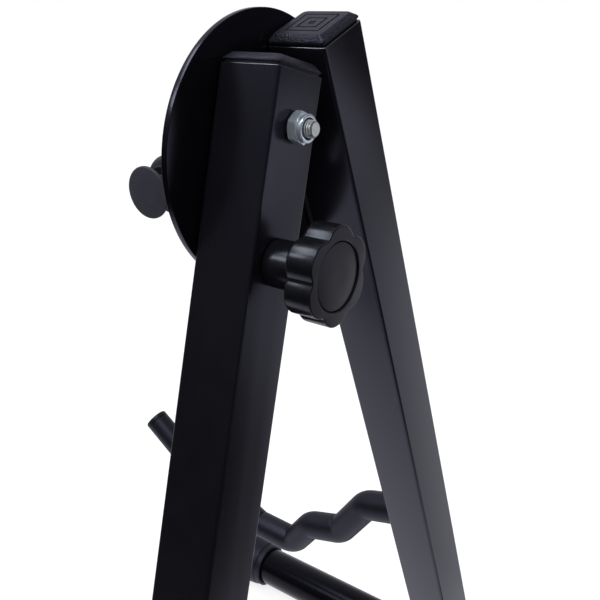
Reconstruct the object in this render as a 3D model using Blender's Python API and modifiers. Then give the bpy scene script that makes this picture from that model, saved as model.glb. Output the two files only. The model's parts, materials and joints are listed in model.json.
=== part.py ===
"""Folding A-frame guitar stand of square tube, standing open on its four rubber boots.

The hinge axis runs along X. The guitar leans on the stand from the -X side: its body rests on the
two wave-shaped arms and its back on the padded cross rest. One leg is fixed to the hinge disc. The
other turns on the pivot bolt, and the knob clamps it where it stands in the disc's arc slot.
All lengths are in metres, with the origin on the floor under the middle of the object.
"""
import math

import bmesh
import bpy
from mathutils import Matrix, Vector

# Fits
GAP = 0.0003                   # left between pieces that touch
BOLT_RADIUS = 0.003            # M6 pivot bolt and clamp bolt

# Legs, square tube
LEG_SIDE = 0.025
LEG_WALL = 0.0012
LEG_CORNER = 0.0014
LEG_LEAN = math.radians(17.78)
FOLDING_LEG_LENGTH = 0.4297    # foot axis to the tube's top end
FIXED_LEG_EXTRA = 0.0101       # the fixed leg is longer by this
LEG_SWING_CLEARANCE = 0.0010   # from the folding leg's top corner, as it swings past, to the other

# Plug caps in the tube tops
CAP_HEIGHT = 0.0036
CAP_CHAMFER = 0.0020
CAP_CORNER = 0.0011
CAP_INSET = 0.0003             # the cap stays this far inside the tube's outer faces
CAP_PLUG_DEPTH = 0.011
CAP_PLUG_WALL = 0.0014
CAP_GROOVE_MARGIN = 0.0027     # from the chamfer to the outer groove
CAP_GROOVE = 0.0007
CAP_GROOVE_DEPTH = 0.0005
CAP_GROOVE_PITCH = 0.0031
CAP_GROOVES = 3

# Foot tubes, along X
FOOT_RADIUS = 0.0133
FOOT_WALL = 0.0015
FOOT_FRONT = 0.198             # leg middle to the front boot's end
FOOT_REAR = 0.098

# Rubber boots on the foot tubes
BOOT_MOUTH_OVER_TUBE = 0.0022
BOOT_OVER_TUBE = 0.0047
BOOT_LENGTH = 0.044
BOOT_WALL = 0.004
BOOT_ROUND = 0.004
BOOT_BEAD = 0.0006
BOOT_BEAD_LENGTH = 0.003
BOOT_PAD_CUT = 0.0006          # depth of the flat that stands on the floor

# Hinge disc and its arc slot
DISC_RADIUS = 0.050
DISC_THICKNESS = 0.0025
DISC_EDGE = 0.0004
DISC_SIDEWAYS = 0.0160         # disc centre from the pivot, towards the fixed leg
DISC_BELOW_PIVOT = 0.0133
PIVOT_BELOW_TOP = 0.0181       # along the folding leg
CLAMP_BELOW_PIVOT = 0.0452     # along the folding leg, and the slot's radius
FOLD_ANGLE = math.radians(33)
SLIP_WASHER_THICKNESS = 0.0005
SLIP_WASHER_RADIUS = 0.009

# Pivot bolt, its head washer and lock nut
HEAD_ACROSS_FLATS = 0.010
HEAD_HEIGHT = 0.004
HEAD_WASHER_RADIUS = 0.006
HEAD_WASHER_THICKNESS = 0.0012
NUT_ACROSS_FLATS = 0.010
NUT_HEX_HEIGHT = 0.0040
NUT_HEIGHT = 0.0057
NUT_COLLAR_RADIUS = 0.0048
NUT_COLLAR_WALL = 0.0011
NUT_RING_THICKNESS = 0.0013
PIVOT_BOLT_PROUD = 0.0086      # bolt end beyond the leg's rear face
BOLT_END_CHAMFER = 0.0006

# Clamp bolt, its domed head in front of the disc
DOME_RADIUS = 0.0075
DOME_HEIGHT = 0.0032
CLAMP_BOLT_PROUD = 0.0195      # bolt end beyond the leg's rear face, inside the knob

# Clamp knob
KNOB_LOBES = 6
KNOB_RADIUS = 0.0168
KNOB_LOBE_RADIUS = 0.0078
KNOB_NOTCH_RADIUS = 0.0022
KNOB_THICKNESS = 0.0122
KNOB_EDGE = 0.0011
KNOB_HUB_RADIUS = 0.0083
KNOB_HUB_LENGTH = 0.013
KNOB_RIM = 0.0054              # from the lobes' tips to the sunk face
KNOB_FACE_THICKNESS = 0.0016
KNOB_FACE_DISH = 0.0005
KNOB_TURNED = math.radians(-10)     # where the knob stands, its notches turned about the bolt
INSERT_RADIUS = 0.0048
INSERT_LENGTH = 0.016

# Support arms: a bent rod in a rubber sleeve, seen from the side as steps ahead of and
# below the root, which is the middle of the leg's front face
ARM_ROOT_ABOVE_FOOT = 0.1472
ARM_SHELF_1 = (0.0221, -0.0063)
ARM_STEP_1 = (0.0412, -0.0327)
ARM_SHELF_2 = (0.0638, -0.0396)
ARM_STEP_2 = (0.0787, -0.0591)
ARM_TROUGH = (0.1075, -0.0579)
ARM_RISE = (0.1753, -0.0254)
ARM_TIP = (0.1968, -0.0091)
ARM_BEND = 0.0115
ARM_ROD_RADIUS = 0.005
ARM_SLEEVE_ROOT_RADIUS = 0.00875
ARM_SLEEVE_TIP_RADIUS = 0.0078
ARM_TIP_THICKNESS = 0.003
ARM_TIP_ROUND = 0.0012
ARM_TIP_SPIGOT = 0.007

# Padded cross rest on its post in front of the disc
REST_BELOW_DISC_CENTRE = 0.0113
REST_FORWARD = 0.0400          # leg middle to the bar's axis
REST_BAR_RADIUS = 0.00625
REST_BAR_WALL = 0.00175
REST_POST_RADIUS = 0.006
REST_SLEEVE_RADIUS = 0.01125
REST_SLEEVE_HALF_LENGTH = 0.0296
REST_SLEEVE_ROUND = 0.0025
REST_RING_RADIUS = 0.0080
REST_RING_THICKNESS = 0.002
BUTTON_RADIUS = 0.0097
BUTTON_THICKNESS = 0.0013
BUTTON_ROUND = 0.0004
BUTTON_CROWN = 0.0004
BUTTON_STEM_RADIUS = 0.0050    # the stem that shows between ring and button
BUTTON_STEM = 0.0065
BUTTON_SPIGOT = 0.009

# Fineness of the round pieces
TURN_STEPS = 28
DISC_STEPS = 72
SMALL_TURN_STEPS = 24
SLEEVE_SIDES = 6               # bevel resolution of the arm sleeve, 16 sides
ROD_SIDES = 2                  # bevel resolution of rod and bore, 8 sides
BEND_STEPS = 3

# Places that follow from the sizes
LEG_HALF = LEG_SIDE / 2
FIXED_LEG_LENGTH = FOLDING_LEG_LENGTH + FIXED_LEG_EXTRA
LEG_DIRECTION_Y = math.sin(LEG_LEAN)
LEG_DIRECTION_Z = math.cos(LEG_LEAN)
BOOT_MOUTH_RADIUS = FOOT_RADIUS + BOOT_MOUTH_OVER_TUBE
BOOT_RADIUS = FOOT_RADIUS + BOOT_OVER_TUBE
FOOT_HEIGHT = BOOT_RADIUS - BOOT_PAD_CUT
PIVOT_UP_LEG = FOLDING_LEG_LENGTH - PIVOT_BELOW_TOP
TOP_SWING = math.hypot(LEG_HALF, PIVOT_BELOW_TOP + GAP + CAP_HEIGHT)
FIXED_AXIS_FROM_PIVOT = TOP_SWING + LEG_SWING_CLEARANCE + LEG_HALF
FOOT_HALF_SPREAD = PIVOT_UP_LEG * LEG_DIRECTION_Y + FIXED_AXIS_FROM_PIVOT / (2 * LEG_DIRECTION_Z)
PIVOT_Y = -FOOT_HALF_SPREAD + PIVOT_UP_LEG * LEG_DIRECTION_Y
PIVOT_Z = FOOT_HEIGHT + PIVOT_UP_LEG * LEG_DIRECTION_Z
CLAMP_Y = PIVOT_Y - CLAMP_BELOW_PIVOT * LEG_DIRECTION_Y
CLAMP_Z = PIVOT_Z - CLAMP_BELOW_PIVOT * LEG_DIRECTION_Z
BORE_RADIUS = BOLT_RADIUS + GAP
DISC_BACK = -LEG_HALF - SLIP_WASHER_THICKNESS - 2 * GAP
DISC_FRONT = DISC_BACK - DISC_THICKNESS
DISC_Y = PIVOT_Y + DISC_SIDEWAYS
DISC_Z = PIVOT_Z - DISC_BELOW_PIVOT
FIXED_LEG_X = DISC_BACK + GAP + LEG_HALF
REST_Z = DISC_Z - REST_BELOW_DISC_CENTRE
REST_BAR_HALF_LENGTH = REST_SLEEVE_HALF_LENGTH + GAP + REST_RING_THICKNESS
NUT_RING_RADIUS = NUT_COLLAR_RADIUS - NUT_COLLAR_WALL
KNOB_FACE_RADIUS = KNOB_RADIUS - KNOB_RIM
KNOB_BACK = LEG_HALF + GAP + KNOB_HUB_LENGTH
ARM_TIP_HEADING = math.atan2(ARM_TIP[1] - ARM_RISE[1], ARM_TIP[0] - ARM_RISE[0])
ARM_TIP_REACH = ((GAP + ARM_TIP_THICKNESS - ARM_TIP_ROUND) * math.cos(ARM_TIP_HEADING)
                 + (ARM_SLEEVE_TIP_RADIUS - ARM_TIP_ROUND) * math.sin(ARM_TIP_HEADING)
                 + ARM_TIP_ROUND)
ARM_FRONT = FIXED_LEG_X - LEG_HALF - GAP - ARM_TIP[0] - ARM_TIP_REACH
MIDDLE_X = (ARM_FRONT + FOOT_REAR) / 2      # the origin's place, from the leg's middle


def clear_scene():
    for old in list(bpy.data.objects):
        bpy.data.objects.remove(old, do_unlink=True)


def new_collection(name):
    group = bpy.data.collections.new(name)
    bpy.context.scene.collection.children.link(group)
    return group


def paint(name, colour, roughness, metallic=0.0):
    finish = bpy.data.materials.new(name)
    finish.use_nodes = True
    shader = finish.node_tree.nodes["Principled BSDF"]
    shader.inputs["Base Color"].default_value = (*colour, 1.0)
    shader.inputs["Roughness"].default_value = roughness
    shader.inputs["Metallic"].default_value = metallic
    return finish


clear_scene()
STAND = new_collection("guitar_stand")
CUTTERS = new_collection("cutters")

POWDER_COAT = paint("black_powder_coat", (0.012, 0.012, 0.014), 0.45)
GLOSS_COAT = paint("gloss_black_coat", (0.008, 0.008, 0.009), 0.22)
CAP_PLASTIC = paint("black_cap_plastic", (0.018, 0.018, 0.020), 0.50)
KNOB_PLASTIC = paint("black_knob_plastic", (0.015, 0.015, 0.016), 0.38)
RUBBER = paint("black_rubber", (0.020, 0.020, 0.022), 0.65)
GREY_RUBBER = paint("grey_rubber", (0.085, 0.085, 0.095), 0.55)
ZINC = paint("zinc_plate", (0.62, 0.64, 0.66), 0.30, 1.0)
NYLON = paint("black_nylon", (0.015, 0.015, 0.017), 0.50)
BRASS = paint("brass", (0.62, 0.47, 0.20), 0.35, 1.0)


def add_object(name, mesh, finish, group=None):
    thing = bpy.data.objects.new(name, mesh)
    (group or STAND).objects.link(thing)
    if finish:
        mesh.materials.append(finish)
    return thing


def mesh_from(name, shape):
    mesh = bpy.data.meshes.new(name)
    bmesh.ops.recalc_face_normals(shape, faces=shape.faces[:])
    shape.to_mesh(mesh)
    shape.free()
    return mesh


def place(thing, parent, x, y, z, turn=(0.0, 0.0, 0.0)):
    """Put a piece at a place measured from the leg's middle plane, the middle of the spread and
    the floor. A piece with a parent keeps that world place."""
    spot = Vector((x - MIDDLE_X, y, z))
    thing.rotation_euler = turn
    if parent:
        thing.parent = parent
        spot -= parent.location
    thing.location = spot
    return thing


ALONG_X = (0.0, math.pi / 2, 0.0)
ALONG_MINUS_X = (0.0, -math.pi / 2, 0.0)
ALONG_Y = (-math.pi / 2, 0.0, 0.0)
ALONG_MINUS_Y = (math.pi / 2, 0.0, 0.0)


def turned(name, profile, finish, steps=TURN_STEPS, closed=False, group=None):
    """A piece turned about local Z. The profile is a list of (radius, height), top to bottom."""
    mesh = bpy.data.meshes.new(name)
    corners = [(radius, 0.0, height) for radius, height in profile]
    edges = [(i, i + 1) for i in range(len(corners) - 1)]
    if closed:
        edges.append((len(corners) - 1, 0))
    mesh.from_pydata(corners, edges, [])
    thing = add_object(name, mesh, finish, group)
    screw = thing.modifiers.new("turn", "SCREW")
    screw.axis = "Z"
    screw.steps = steps
    screw.render_steps = steps
    screw.use_merge_vertices = True
    screw.merge_threshold = 0.00001
    screw.use_smooth_shade = True
    return thing


def ring(name, outer, inner, bottom, top, finish, steps=SMALL_TURN_STEPS):
    profile = [(outer, top), (outer, bottom), (inner, bottom), (inner, top)]
    return turned(name, profile, finish, steps, closed=True)


def quarter_round(centre_radius, centre_height, radius, start, steps=3):
    """Points of a quarter circle, from the start angle down a quarter turn clockwise."""
    points = []
    for i in range(steps + 1):
        angle = math.radians(start - 90 * i / steps)
        points.append((centre_radius + radius * math.cos(angle),
                       centre_height + radius * math.sin(angle)))
    return points


def round_cutter(name, radius, length, steps=TURN_STEPS):
    """A plain round cutter along local Z, from zero up to its length."""
    shape = bmesh.new()
    bmesh.ops.create_cone(shape, cap_ends=True, segments=steps, radius1=radius, radius2=radius,
                          depth=length, matrix=Matrix.Translation((0, 0, length / 2)))
    return as_cutter(add_object(name, mesh_from(name, shape), None, CUTTERS))


def block_cutter(name, size):
    """A cube centred on its origin."""
    shape = bmesh.new()
    bmesh.ops.create_cube(shape, size=size)
    return as_cutter(add_object(name, mesh_from(name, shape), None, CUTTERS))


def as_cutter(thing):
    thing.hide_render = True
    thing.display_type = "WIRE"
    return thing


def cut(thing, cutter, how="DIFFERENCE"):
    step = thing.modifiers.new(cutter.name, "BOOLEAN")
    step.operation = how
    step.solver = "EXACT"
    step.object = cutter
    return thing


def prism(name, outline, thickness, finish, edge=0.0, edge_steps=2, group=None):
    """A flat outline in local XY, raised along local Z, with its rims rounded."""
    shape = bmesh.new()
    corners = [shape.verts.new((x, y, 0.0)) for x, y in outline]
    face = shape.faces.new(corners)
    raised = bmesh.ops.extrude_face_region(shape, geom=[face])
    top = [item for item in raised["geom"] if isinstance(item, bmesh.types.BMVert)]
    bmesh.ops.translate(shape, verts=top, vec=(0, 0, thickness))
    bmesh.ops.recalc_face_normals(shape, faces=shape.faces[:])
    if edge:
        rims = [e for e in shape.edges if abs(e.verts[0].co.z - e.verts[1].co.z) < GAP]
        bmesh.ops.bevel(shape, geom=rims, offset=edge, segments=edge_steps, profile=0.5,
                        affect="EDGES", material=-1, clamp_overlap=True)
    return add_object(name, mesh_from(name, shape), finish, group)


# Legs and caps

def square_tube(name, bottom, top, finish):
    """Square tube along local Z, an open skin thickened inwards."""
    shape = bmesh.new()
    bmesh.ops.create_cube(shape, size=1.0)
    bmesh.ops.scale(shape, vec=(LEG_SIDE, LEG_SIDE, top - bottom), verts=shape.verts)
    bmesh.ops.translate(shape, vec=(0, 0, (top + bottom) / 2), verts=shape.verts)
    corners = [e for e in shape.edges if abs(e.verts[0].co.z - e.verts[1].co.z) > GAP]
    bmesh.ops.bevel(shape, geom=corners, offset=LEG_CORNER, segments=3, profile=0.5,
                    affect="EDGES", material=-1)
    ends = [f for f in shape.faces if abs(f.normal.z) > 0.9]
    bmesh.ops.delete(shape, geom=ends, context="FACES_ONLY")
    tube = add_object(name, mesh_from(name, shape), finish)
    wall = tube.modifiers.new("wall", "SOLIDIFY")
    wall.thickness = LEG_WALL
    wall.offset = -1.0
    wall.use_even_offset = True
    return tube


def plug_cap(name):
    """Square plug cap: chamfered head with sunk square rings, and a hollow plug below it."""
    half = LEG_HALF - CAP_INSET
    shape = bmesh.new()
    bmesh.ops.create_cube(shape, size=1.0)
    bmesh.ops.scale(shape, vec=(2 * half, 2 * half, CAP_HEIGHT), verts=shape.verts)
    bmesh.ops.translate(shape, vec=(0, 0, GAP + CAP_HEIGHT / 2), verts=shape.verts)
    top = max(shape.faces, key=lambda f: f.calc_center_median().z)
    bmesh.ops.bevel(shape, geom=list(top.edges), offset=CAP_CHAMFER, segments=2, profile=0.6,
                    affect="EDGES", material=-1)
    outer = [e for e in shape.edges if lies_on_corner(e)]
    top = max(shape.faces, key=lambda f: f.calc_center_median().z)
    for step in range(CAP_GROOVES):
        margin = CAP_GROOVE_MARGIN if step == 0 else CAP_GROOVE_PITCH - CAP_GROOVE
        bmesh.ops.inset_region(shape, faces=[top], thickness=margin, use_even_offset=True)
        groove = bmesh.ops.inset_region(shape, faces=[top], thickness=CAP_GROOVE,
                                        use_even_offset=True)
        bmesh.ops.inset_region(shape, faces=groove["faces"], thickness=CAP_GROOVE / 4,
                               depth=-CAP_GROOVE_DEPTH, use_even_offset=True)
    under = min(shape.faces, key=lambda f: f.calc_center_median().z)
    inside = LEG_HALF - LEG_WALL - GAP
    bmesh.ops.inset_region(shape, faces=[under], thickness=half - inside, use_even_offset=True)
    under = push_face(shape, under, -CAP_PLUG_DEPTH - GAP)
    bmesh.ops.inset_region(shape, faces=[under], thickness=CAP_PLUG_WALL, use_even_offset=True)
    push_face(shape, under, CAP_PLUG_DEPTH - CAP_PLUG_WALL)
    bmesh.ops.bevel(shape, geom=outer, offset=CAP_CORNER, segments=2, profile=0.5,
                    affect="EDGES", material=-1)
    return add_object(name, mesh_from(name, shape), CAP_PLASTIC)


def lies_on_corner(edge):
    """Whether an edge runs up one of a square piece's four corners."""
    return all(abs(abs(v.co.x) - abs(v.co.y)) < GAP / 10 for v in edge.verts) and (
        abs(edge.verts[0].co.z - edge.verts[1].co.z) > GAP / 10)


def push_face(shape, face, height):
    """Move a face along Z, leaving walls behind it."""
    pushed = bmesh.ops.extrude_discrete_faces(shape, faces=[face])["faces"][0]
    bmesh.ops.translate(shape, verts=pushed.verts[:], vec=(0, 0, height))
    return pushed


def make_leg(name, length, side, parent, x):
    """side is +1 for the fixed leg and -1 for the folding one. The tube's origin is level with
    the pivot, so the folding leg turns about it."""
    turn = (side * LEG_LEAN, 0.0, 0.0)
    bottom = -PIVOT_UP_LEG
    top = length - PIVOT_UP_LEG
    y = side * (FOOT_HALF_SPREAD - PIVOT_UP_LEG * LEG_DIRECTION_Y)
    tube = square_tube(name + "_leg_tube", bottom, top, POWDER_COAT)
    place(tube, parent, x, y, PIVOT_Z, turn)
    saddle = round_cutter(name + "_saddle", FOOT_RADIUS + GAP, 4 * LEG_SIDE)
    place(saddle, None, x - 2 * LEG_SIDE, side * FOOT_HALF_SPREAD, FOOT_HEIGHT, ALONG_X)
    cut(tube, saddle)
    cap = plug_cap(name + "_leg_cap")
    place(cap, parent, x, y - side * top * LEG_DIRECTION_Y, PIVOT_Z + top * LEG_DIRECTION_Z, turn)
    return tube


# Feet

def boot(name):
    """Rubber boot, open at local zero and closed at its length, wider towards its closed end."""
    bore = FOOT_RADIUS + GAP
    floor = BOOT_LENGTH - BOOT_WALL
    flare_at = BOOT_LENGTH * 0.45
    profile = [(0.0, BOOT_LENGTH), (BOOT_RADIUS - BOOT_ROUND, BOOT_LENGTH)]
    profile += quarter_round(BOOT_RADIUS - BOOT_ROUND, BOOT_LENGTH - BOOT_ROUND, BOOT_ROUND, 90)[1:]
    profile += [(BOOT_RADIUS, flare_at),
                (BOOT_MOUTH_RADIUS + BOOT_BEAD, BOOT_BEAD_LENGTH + 2 * BOOT_BEAD),
                (BOOT_MOUTH_RADIUS, BOOT_BEAD_LENGTH + BOOT_BEAD),
                (BOOT_MOUTH_RADIUS, BOOT_BEAD), (BOOT_MOUTH_RADIUS - BOOT_BEAD, 0.0),
                (bore, 0.0), (bore, floor), (0.0, floor)]
    return turned(name, profile, RUBBER)


def make_foot(name, side, parent, x):
    y = side * FOOT_HALF_SPREAD
    tube_front = x - FOOT_FRONT + BOOT_WALL + GAP
    tube_rear = x + FOOT_REAR - BOOT_WALL - GAP
    length = tube_rear - tube_front
    tube = ring(name + "_foot_tube", FOOT_RADIUS, FOOT_RADIUS - FOOT_WALL, 0.0, length,
                POWDER_COAT, TURN_STEPS)
    place(tube, parent, tube_front, y, FOOT_HEIGHT, ALONG_X)
    for end, open_end, turn in (("front", x - FOOT_FRONT + BOOT_LENGTH, ALONG_MINUS_X),
                                ("rear", x + FOOT_REAR - BOOT_LENGTH, ALONG_X)):
        rubber = boot(name + "_foot_" + end + "_boot")
        place(rubber, parent, open_end, y, FOOT_HEIGHT, turn)
        pad = block_cutter(rubber.name + "_pad", 4 * BOOT_LENGTH)
        place(pad, None, open_end, y, -2 * BOOT_LENGTH)
        cut(rubber, pad)


# Arms

def rounded_path(corners, radius, steps):
    """A line through the corners with each bend turned to the given radius."""
    path = [corners[0]]
    for before, here, after in zip(corners, corners[1:], corners[2:]):
        back = (before - here).normalized()
        ahead = (after - here).normalized()
        half_turn = back.angle(ahead) / 2
        reach = min(radius / math.tan(half_turn), 0.45 * (before - here).length,
                    0.45 * (after - here).length)
        bend = reach * math.tan(half_turn)
        middle = here + (back + ahead).normalized() * (bend / math.sin(half_turn))
        start = here + back * reach - middle
        end = here + ahead * reach - middle
        sweep = start.angle(end)
        for i in range(steps + 1):
            share = i / steps
            low = math.sin((1 - share) * sweep) / math.sin(sweep)
            high = math.sin(share * sweep) / math.sin(sweep)
            path.append(middle + start * low + end * high)
    path.append(corners[-1])
    return path


def shorten(path, length):
    """Take a length off the path's far end."""
    path = list(path)
    while (path[-1] - path[-2]).length <= length:
        length -= (path[-1] - path[-2]).length
        path.pop()
    step = path[-1] - path[-2]
    path[-1] = path[-2] + step * (1 - length / step.length)
    return path


def lengthen_start(path, length):
    first = (path[0] - path[1]).normalized() * length
    return [path[0] + first] + list(path)


def round_bar(name, path, radii, sides, finish, group=None):
    """A bar of round section along a path, made a closed mesh."""
    curve = bpy.data.curves.new(name, "CURVE")
    curve.dimensions = "3D"
    curve.twist_mode = "Z_UP"
    curve.bevel_depth = 1.0
    curve.bevel_resolution = sides
    curve.use_fill_caps = True
    line = curve.splines.new("POLY")
    line.points.add(len(path) - 1)
    for point, spot, radius in zip(line.points, path, radii):
        point.co = (*spot, 1.0)
        point.radius = radius
    guide = bpy.data.objects.new(name + "_line", curve)
    STAND.objects.link(guide)
    bpy.context.view_layer.update()
    mesh = bpy.data.meshes.new_from_object(guide.evaluated_get(
        bpy.context.evaluated_depsgraph_get()))
    bpy.data.objects.remove(guide, do_unlink=True)
    shape = bmesh.new()
    shape.from_mesh(mesh)
    bmesh.ops.remove_doubles(shape, verts=shape.verts, dist=0.00001)
    bpy.data.meshes.remove(mesh)
    mesh = mesh_from(name, shape)
    mesh.shade_smooth()
    return add_object(name, mesh, finish, group)


def path_lengths(path):
    lengths = [0.0]
    for one, two in zip(path, path[1:]):
        lengths.append(lengths[-1] + (two - one).length)
    return lengths


def make_arm(name, side, parent, x):
    """Rod welded to the leg's front face, its rubber sleeve and the sleeve's end plug."""
    steps = [(0.0, 0.0), ARM_SHELF_1, ARM_STEP_1, ARM_SHELF_2, ARM_STEP_2, ARM_TROUGH, ARM_RISE,
             ARM_TIP]
    corners = [Vector((-ahead, 0.0, up)) for ahead, up in steps]
    path = lengthen_start(rounded_path(corners, ARM_BEND, BEND_STEPS), ARM_SLEEVE_ROOT_RADIUS)
    lengths = path_lengths(path)
    height = FOOT_HEIGHT + ARM_ROOT_ABOVE_FOOT
    y = side * (FOOT_HALF_SPREAD - ARM_ROOT_ABOVE_FOOT * math.tan(LEG_LEAN))
    root_x = x - LEG_HALF - GAP

    rod_path = shorten(path, ARM_TIP_SPIGOT + GAP)
    rod = round_bar(name + "_arm_rod", rod_path, [ARM_ROD_RADIUS] * len(rod_path), ROD_SIDES,
                    POWDER_COAT)
    place(rod, parent, root_x, y, height)
    trim = block_cutter(name + "_arm_trim", 4 * LEG_SIDE)
    place(trim, None, root_x + 2 * LEG_SIDE, y, height)
    cut(rod, trim)

    taper = (ARM_SLEEVE_TIP_RADIUS - ARM_SLEEVE_ROOT_RADIUS) / lengths[-1]
    radii = [ARM_SLEEVE_ROOT_RADIUS + taper * length for length in lengths]
    sleeve = round_bar(name + "_arm_sleeve", path, radii, SLEEVE_SIDES, RUBBER)
    place(sleeve, parent, root_x, y, height)
    bore_path = lengthen_start(path, LEG_WALL)
    bore_path[-1] = bore_path[-1] + (path[-1] - path[-2]).normalized() * LEG_WALL
    bore = round_bar(name + "_arm_bore", bore_path, [ARM_ROD_RADIUS + GAP] * len(bore_path),
                     ROD_SIDES, None, CUTTERS)
    place(as_cutter(bore), None, root_x, y, height)
    cut(sleeve, bore)
    cut(sleeve, trim)

    radius = ARM_SLEEVE_TIP_RADIUS
    profile = [(0.0, ARM_TIP_THICKNESS + GAP)]
    profile += quarter_round(radius - ARM_TIP_ROUND, ARM_TIP_THICKNESS + GAP - ARM_TIP_ROUND,
                             ARM_TIP_ROUND, 90)
    profile += [(radius, GAP), (ARM_ROD_RADIUS - GAP, GAP), (ARM_ROD_RADIUS - GAP, -ARM_TIP_SPIGOT),
                (0.0, -ARM_TIP_SPIGOT)]
    plug = turned(name + "_arm_tip", profile, RUBBER, SMALL_TURN_STEPS)
    heading = path[-1] - path[-2]
    tilt = (0.0, math.atan2(heading.x, heading.z), 0.0)
    place(plug, parent, root_x + path[-1].x, y, height + path[-1].z, tilt)


# Hinge disc

def slot_outline(radius, half_width, start, end, steps=12, end_steps=6):
    """A round-ended slot along an arc about the local origin. Angles run from straight down."""
    points = []
    for edge, first, last in ((radius + half_width, start, end), (radius - half_width, end, start)):
        for i in range(steps + 1):
            angle = first + (last - first) * i / steps
            points.append((edge * math.sin(angle), -edge * math.cos(angle)))
        cap = last
        centre = (radius * math.sin(cap), -radius * math.cos(cap))
        sign = 1.0 if last > first else -1.0
        for i in range(1, end_steps):
            around = math.pi * i / end_steps
            out = half_width * math.cos(around) * sign
            along = half_width * math.sin(around) * sign
            points.append((centre[0] + out * math.sin(cap) + along * math.cos(cap),
                           centre[1] - out * math.cos(cap) + along * math.sin(cap)))
    return points


def make_disc(parent):
    shape = bmesh.new()
    bmesh.ops.create_cone(shape, cap_ends=True, segments=DISC_STEPS, radius1=DISC_RADIUS,
                          radius2=DISC_RADIUS, depth=DISC_THICKNESS)
    rims = [e for e in shape.edges if abs(e.verts[0].co.z - e.verts[1].co.z) < GAP]
    bmesh.ops.bevel(shape, geom=rims, offset=DISC_EDGE, segments=1, profile=0.5, affect="EDGES",
                    material=-1)
    disc = add_object("hinge_disc", mesh_from("hinge_disc", shape), GLOSS_COAT)
    middle = (DISC_BACK + DISC_FRONT) / 2
    place(disc, parent, middle, DISC_Y, DISC_Z, ALONG_X)

    hole = round_cutter("disc_pivot_hole", BORE_RADIUS, 4 * DISC_THICKNESS, SMALL_TURN_STEPS)
    place(hole, None, middle - 2 * DISC_THICKNESS, PIVOT_Y, PIVOT_Z, ALONG_X)
    cut(disc, hole)
    slack = GAP / CLAMP_BELOW_PIVOT
    outline = slot_outline(CLAMP_BELOW_PIVOT, BORE_RADIUS, -LEG_LEAN - slack,
                           FOLD_ANGLE - LEG_LEAN + slack)
    slot = prism("disc_arc_slot", outline, 4 * DISC_THICKNESS, None, group=CUTTERS)
    as_cutter(slot)
    # Local X of the outline lies along world Y and local Y along world Z.
    upright = (math.pi / 2, 0.0, math.pi / 2)
    place(slot, None, middle - 2 * DISC_THICKNESS, PIVOT_Y, PIVOT_Z, upright)
    cut(disc, slot)


# Cross rest

def make_rest(parent):
    bar = ring("rest_bar", REST_BAR_RADIUS, REST_BAR_RADIUS - REST_BAR_WALL,
               -REST_BAR_HALF_LENGTH, REST_BAR_HALF_LENGTH, POWDER_COAT)
    place(bar, parent, -REST_FORWARD, 0.0, REST_Z, ALONG_Y)

    length = REST_FORWARD + DISC_FRONT - GAP
    shape = bmesh.new()
    bmesh.ops.create_cone(shape, cap_ends=True, segments=SMALL_TURN_STEPS, depth=length,
                          radius1=REST_POST_RADIUS, radius2=REST_POST_RADIUS,
                          matrix=Matrix.Translation((0, 0, length / 2)))
    post = add_object("rest_post", mesh_from("rest_post", shape), POWDER_COAT)
    place(post, parent, -REST_FORWARD, 0.0, REST_Z, ALONG_X)
    saddle = round_cutter("rest_post_saddle", REST_BAR_RADIUS + GAP, 4 * REST_BAR_RADIUS)
    place(saddle, None, -REST_FORWARD, -2 * REST_BAR_RADIUS, REST_Z, ALONG_Y)
    cut(post, saddle)

    half = REST_SLEEVE_HALF_LENGTH
    edge = REST_SLEEVE_ROUND
    profile = quarter_round(REST_SLEEVE_RADIUS - edge, half - edge, edge, 90)
    profile += quarter_round(REST_SLEEVE_RADIUS - edge, edge - half, edge, 0)
    profile += [(REST_BAR_RADIUS + GAP, -half), (REST_BAR_RADIUS + GAP, half)]
    sleeve = turned("rest_sleeve", profile, GREY_RUBBER, TURN_STEPS, closed=True)
    place(sleeve, parent, -REST_FORWARD, 0.0, REST_Z, ALONG_Y)
    post_hole = round_cutter("rest_sleeve_hole", REST_POST_RADIUS + GAP, 2 * REST_SLEEVE_RADIUS,
                             SMALL_TURN_STEPS)
    place(post_hole, None, -REST_FORWARD, 0.0, REST_Z, ALONG_X)
    cut(sleeve, post_hole)

    for end, side, turn in (("right", -1, ALONG_MINUS_Y), ("left", 1, ALONG_Y)):
        collar = ring("rest_" + end + "_ring", REST_RING_RADIUS, REST_BAR_RADIUS + GAP,
                      half + GAP, half + GAP + REST_RING_THICKNESS, RUBBER)
        place(collar, parent, -REST_FORWARD, 0.0, REST_Z, turn)
        button = rest_button("rest_" + end + "_button")
        place(button, parent, -REST_FORWARD, side * (REST_BAR_HALF_LENGTH + GAP), REST_Z, turn)


def rest_button(name):
    """Flanged end plug: a thin crowned flange on a stem, and a spigot that fits the bar's bore."""
    inner = REST_BAR_RADIUS - REST_BAR_WALL - GAP
    top = BUTTON_STEM + BUTTON_THICKNESS
    flat = BUTTON_RADIUS - BUTTON_ROUND
    profile = [(0.0, top + BUTTON_CROWN), (flat / 2, top + BUTTON_CROWN * 0.75)]
    profile += quarter_round(flat, top - BUTTON_ROUND, BUTTON_ROUND, 90)
    profile += [(BUTTON_RADIUS, BUTTON_STEM), (BUTTON_STEM_RADIUS, BUTTON_STEM),
                (BUTTON_STEM_RADIUS, 0.0), (inner, 0.0), (inner, -BUTTON_SPIGOT),
                (0.0, -BUTTON_SPIGOT)]
    return turned(name, profile, GREY_RUBBER, SMALL_TURN_STEPS)


# Pivot bolt and clamp bolt

def hexagon(across_flats):
    corner = across_flats / math.sqrt(3)
    return [(corner * math.cos(math.radians(60 * i)), corner * math.sin(math.radians(60 * i)))
            for i in range(6)]


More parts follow.
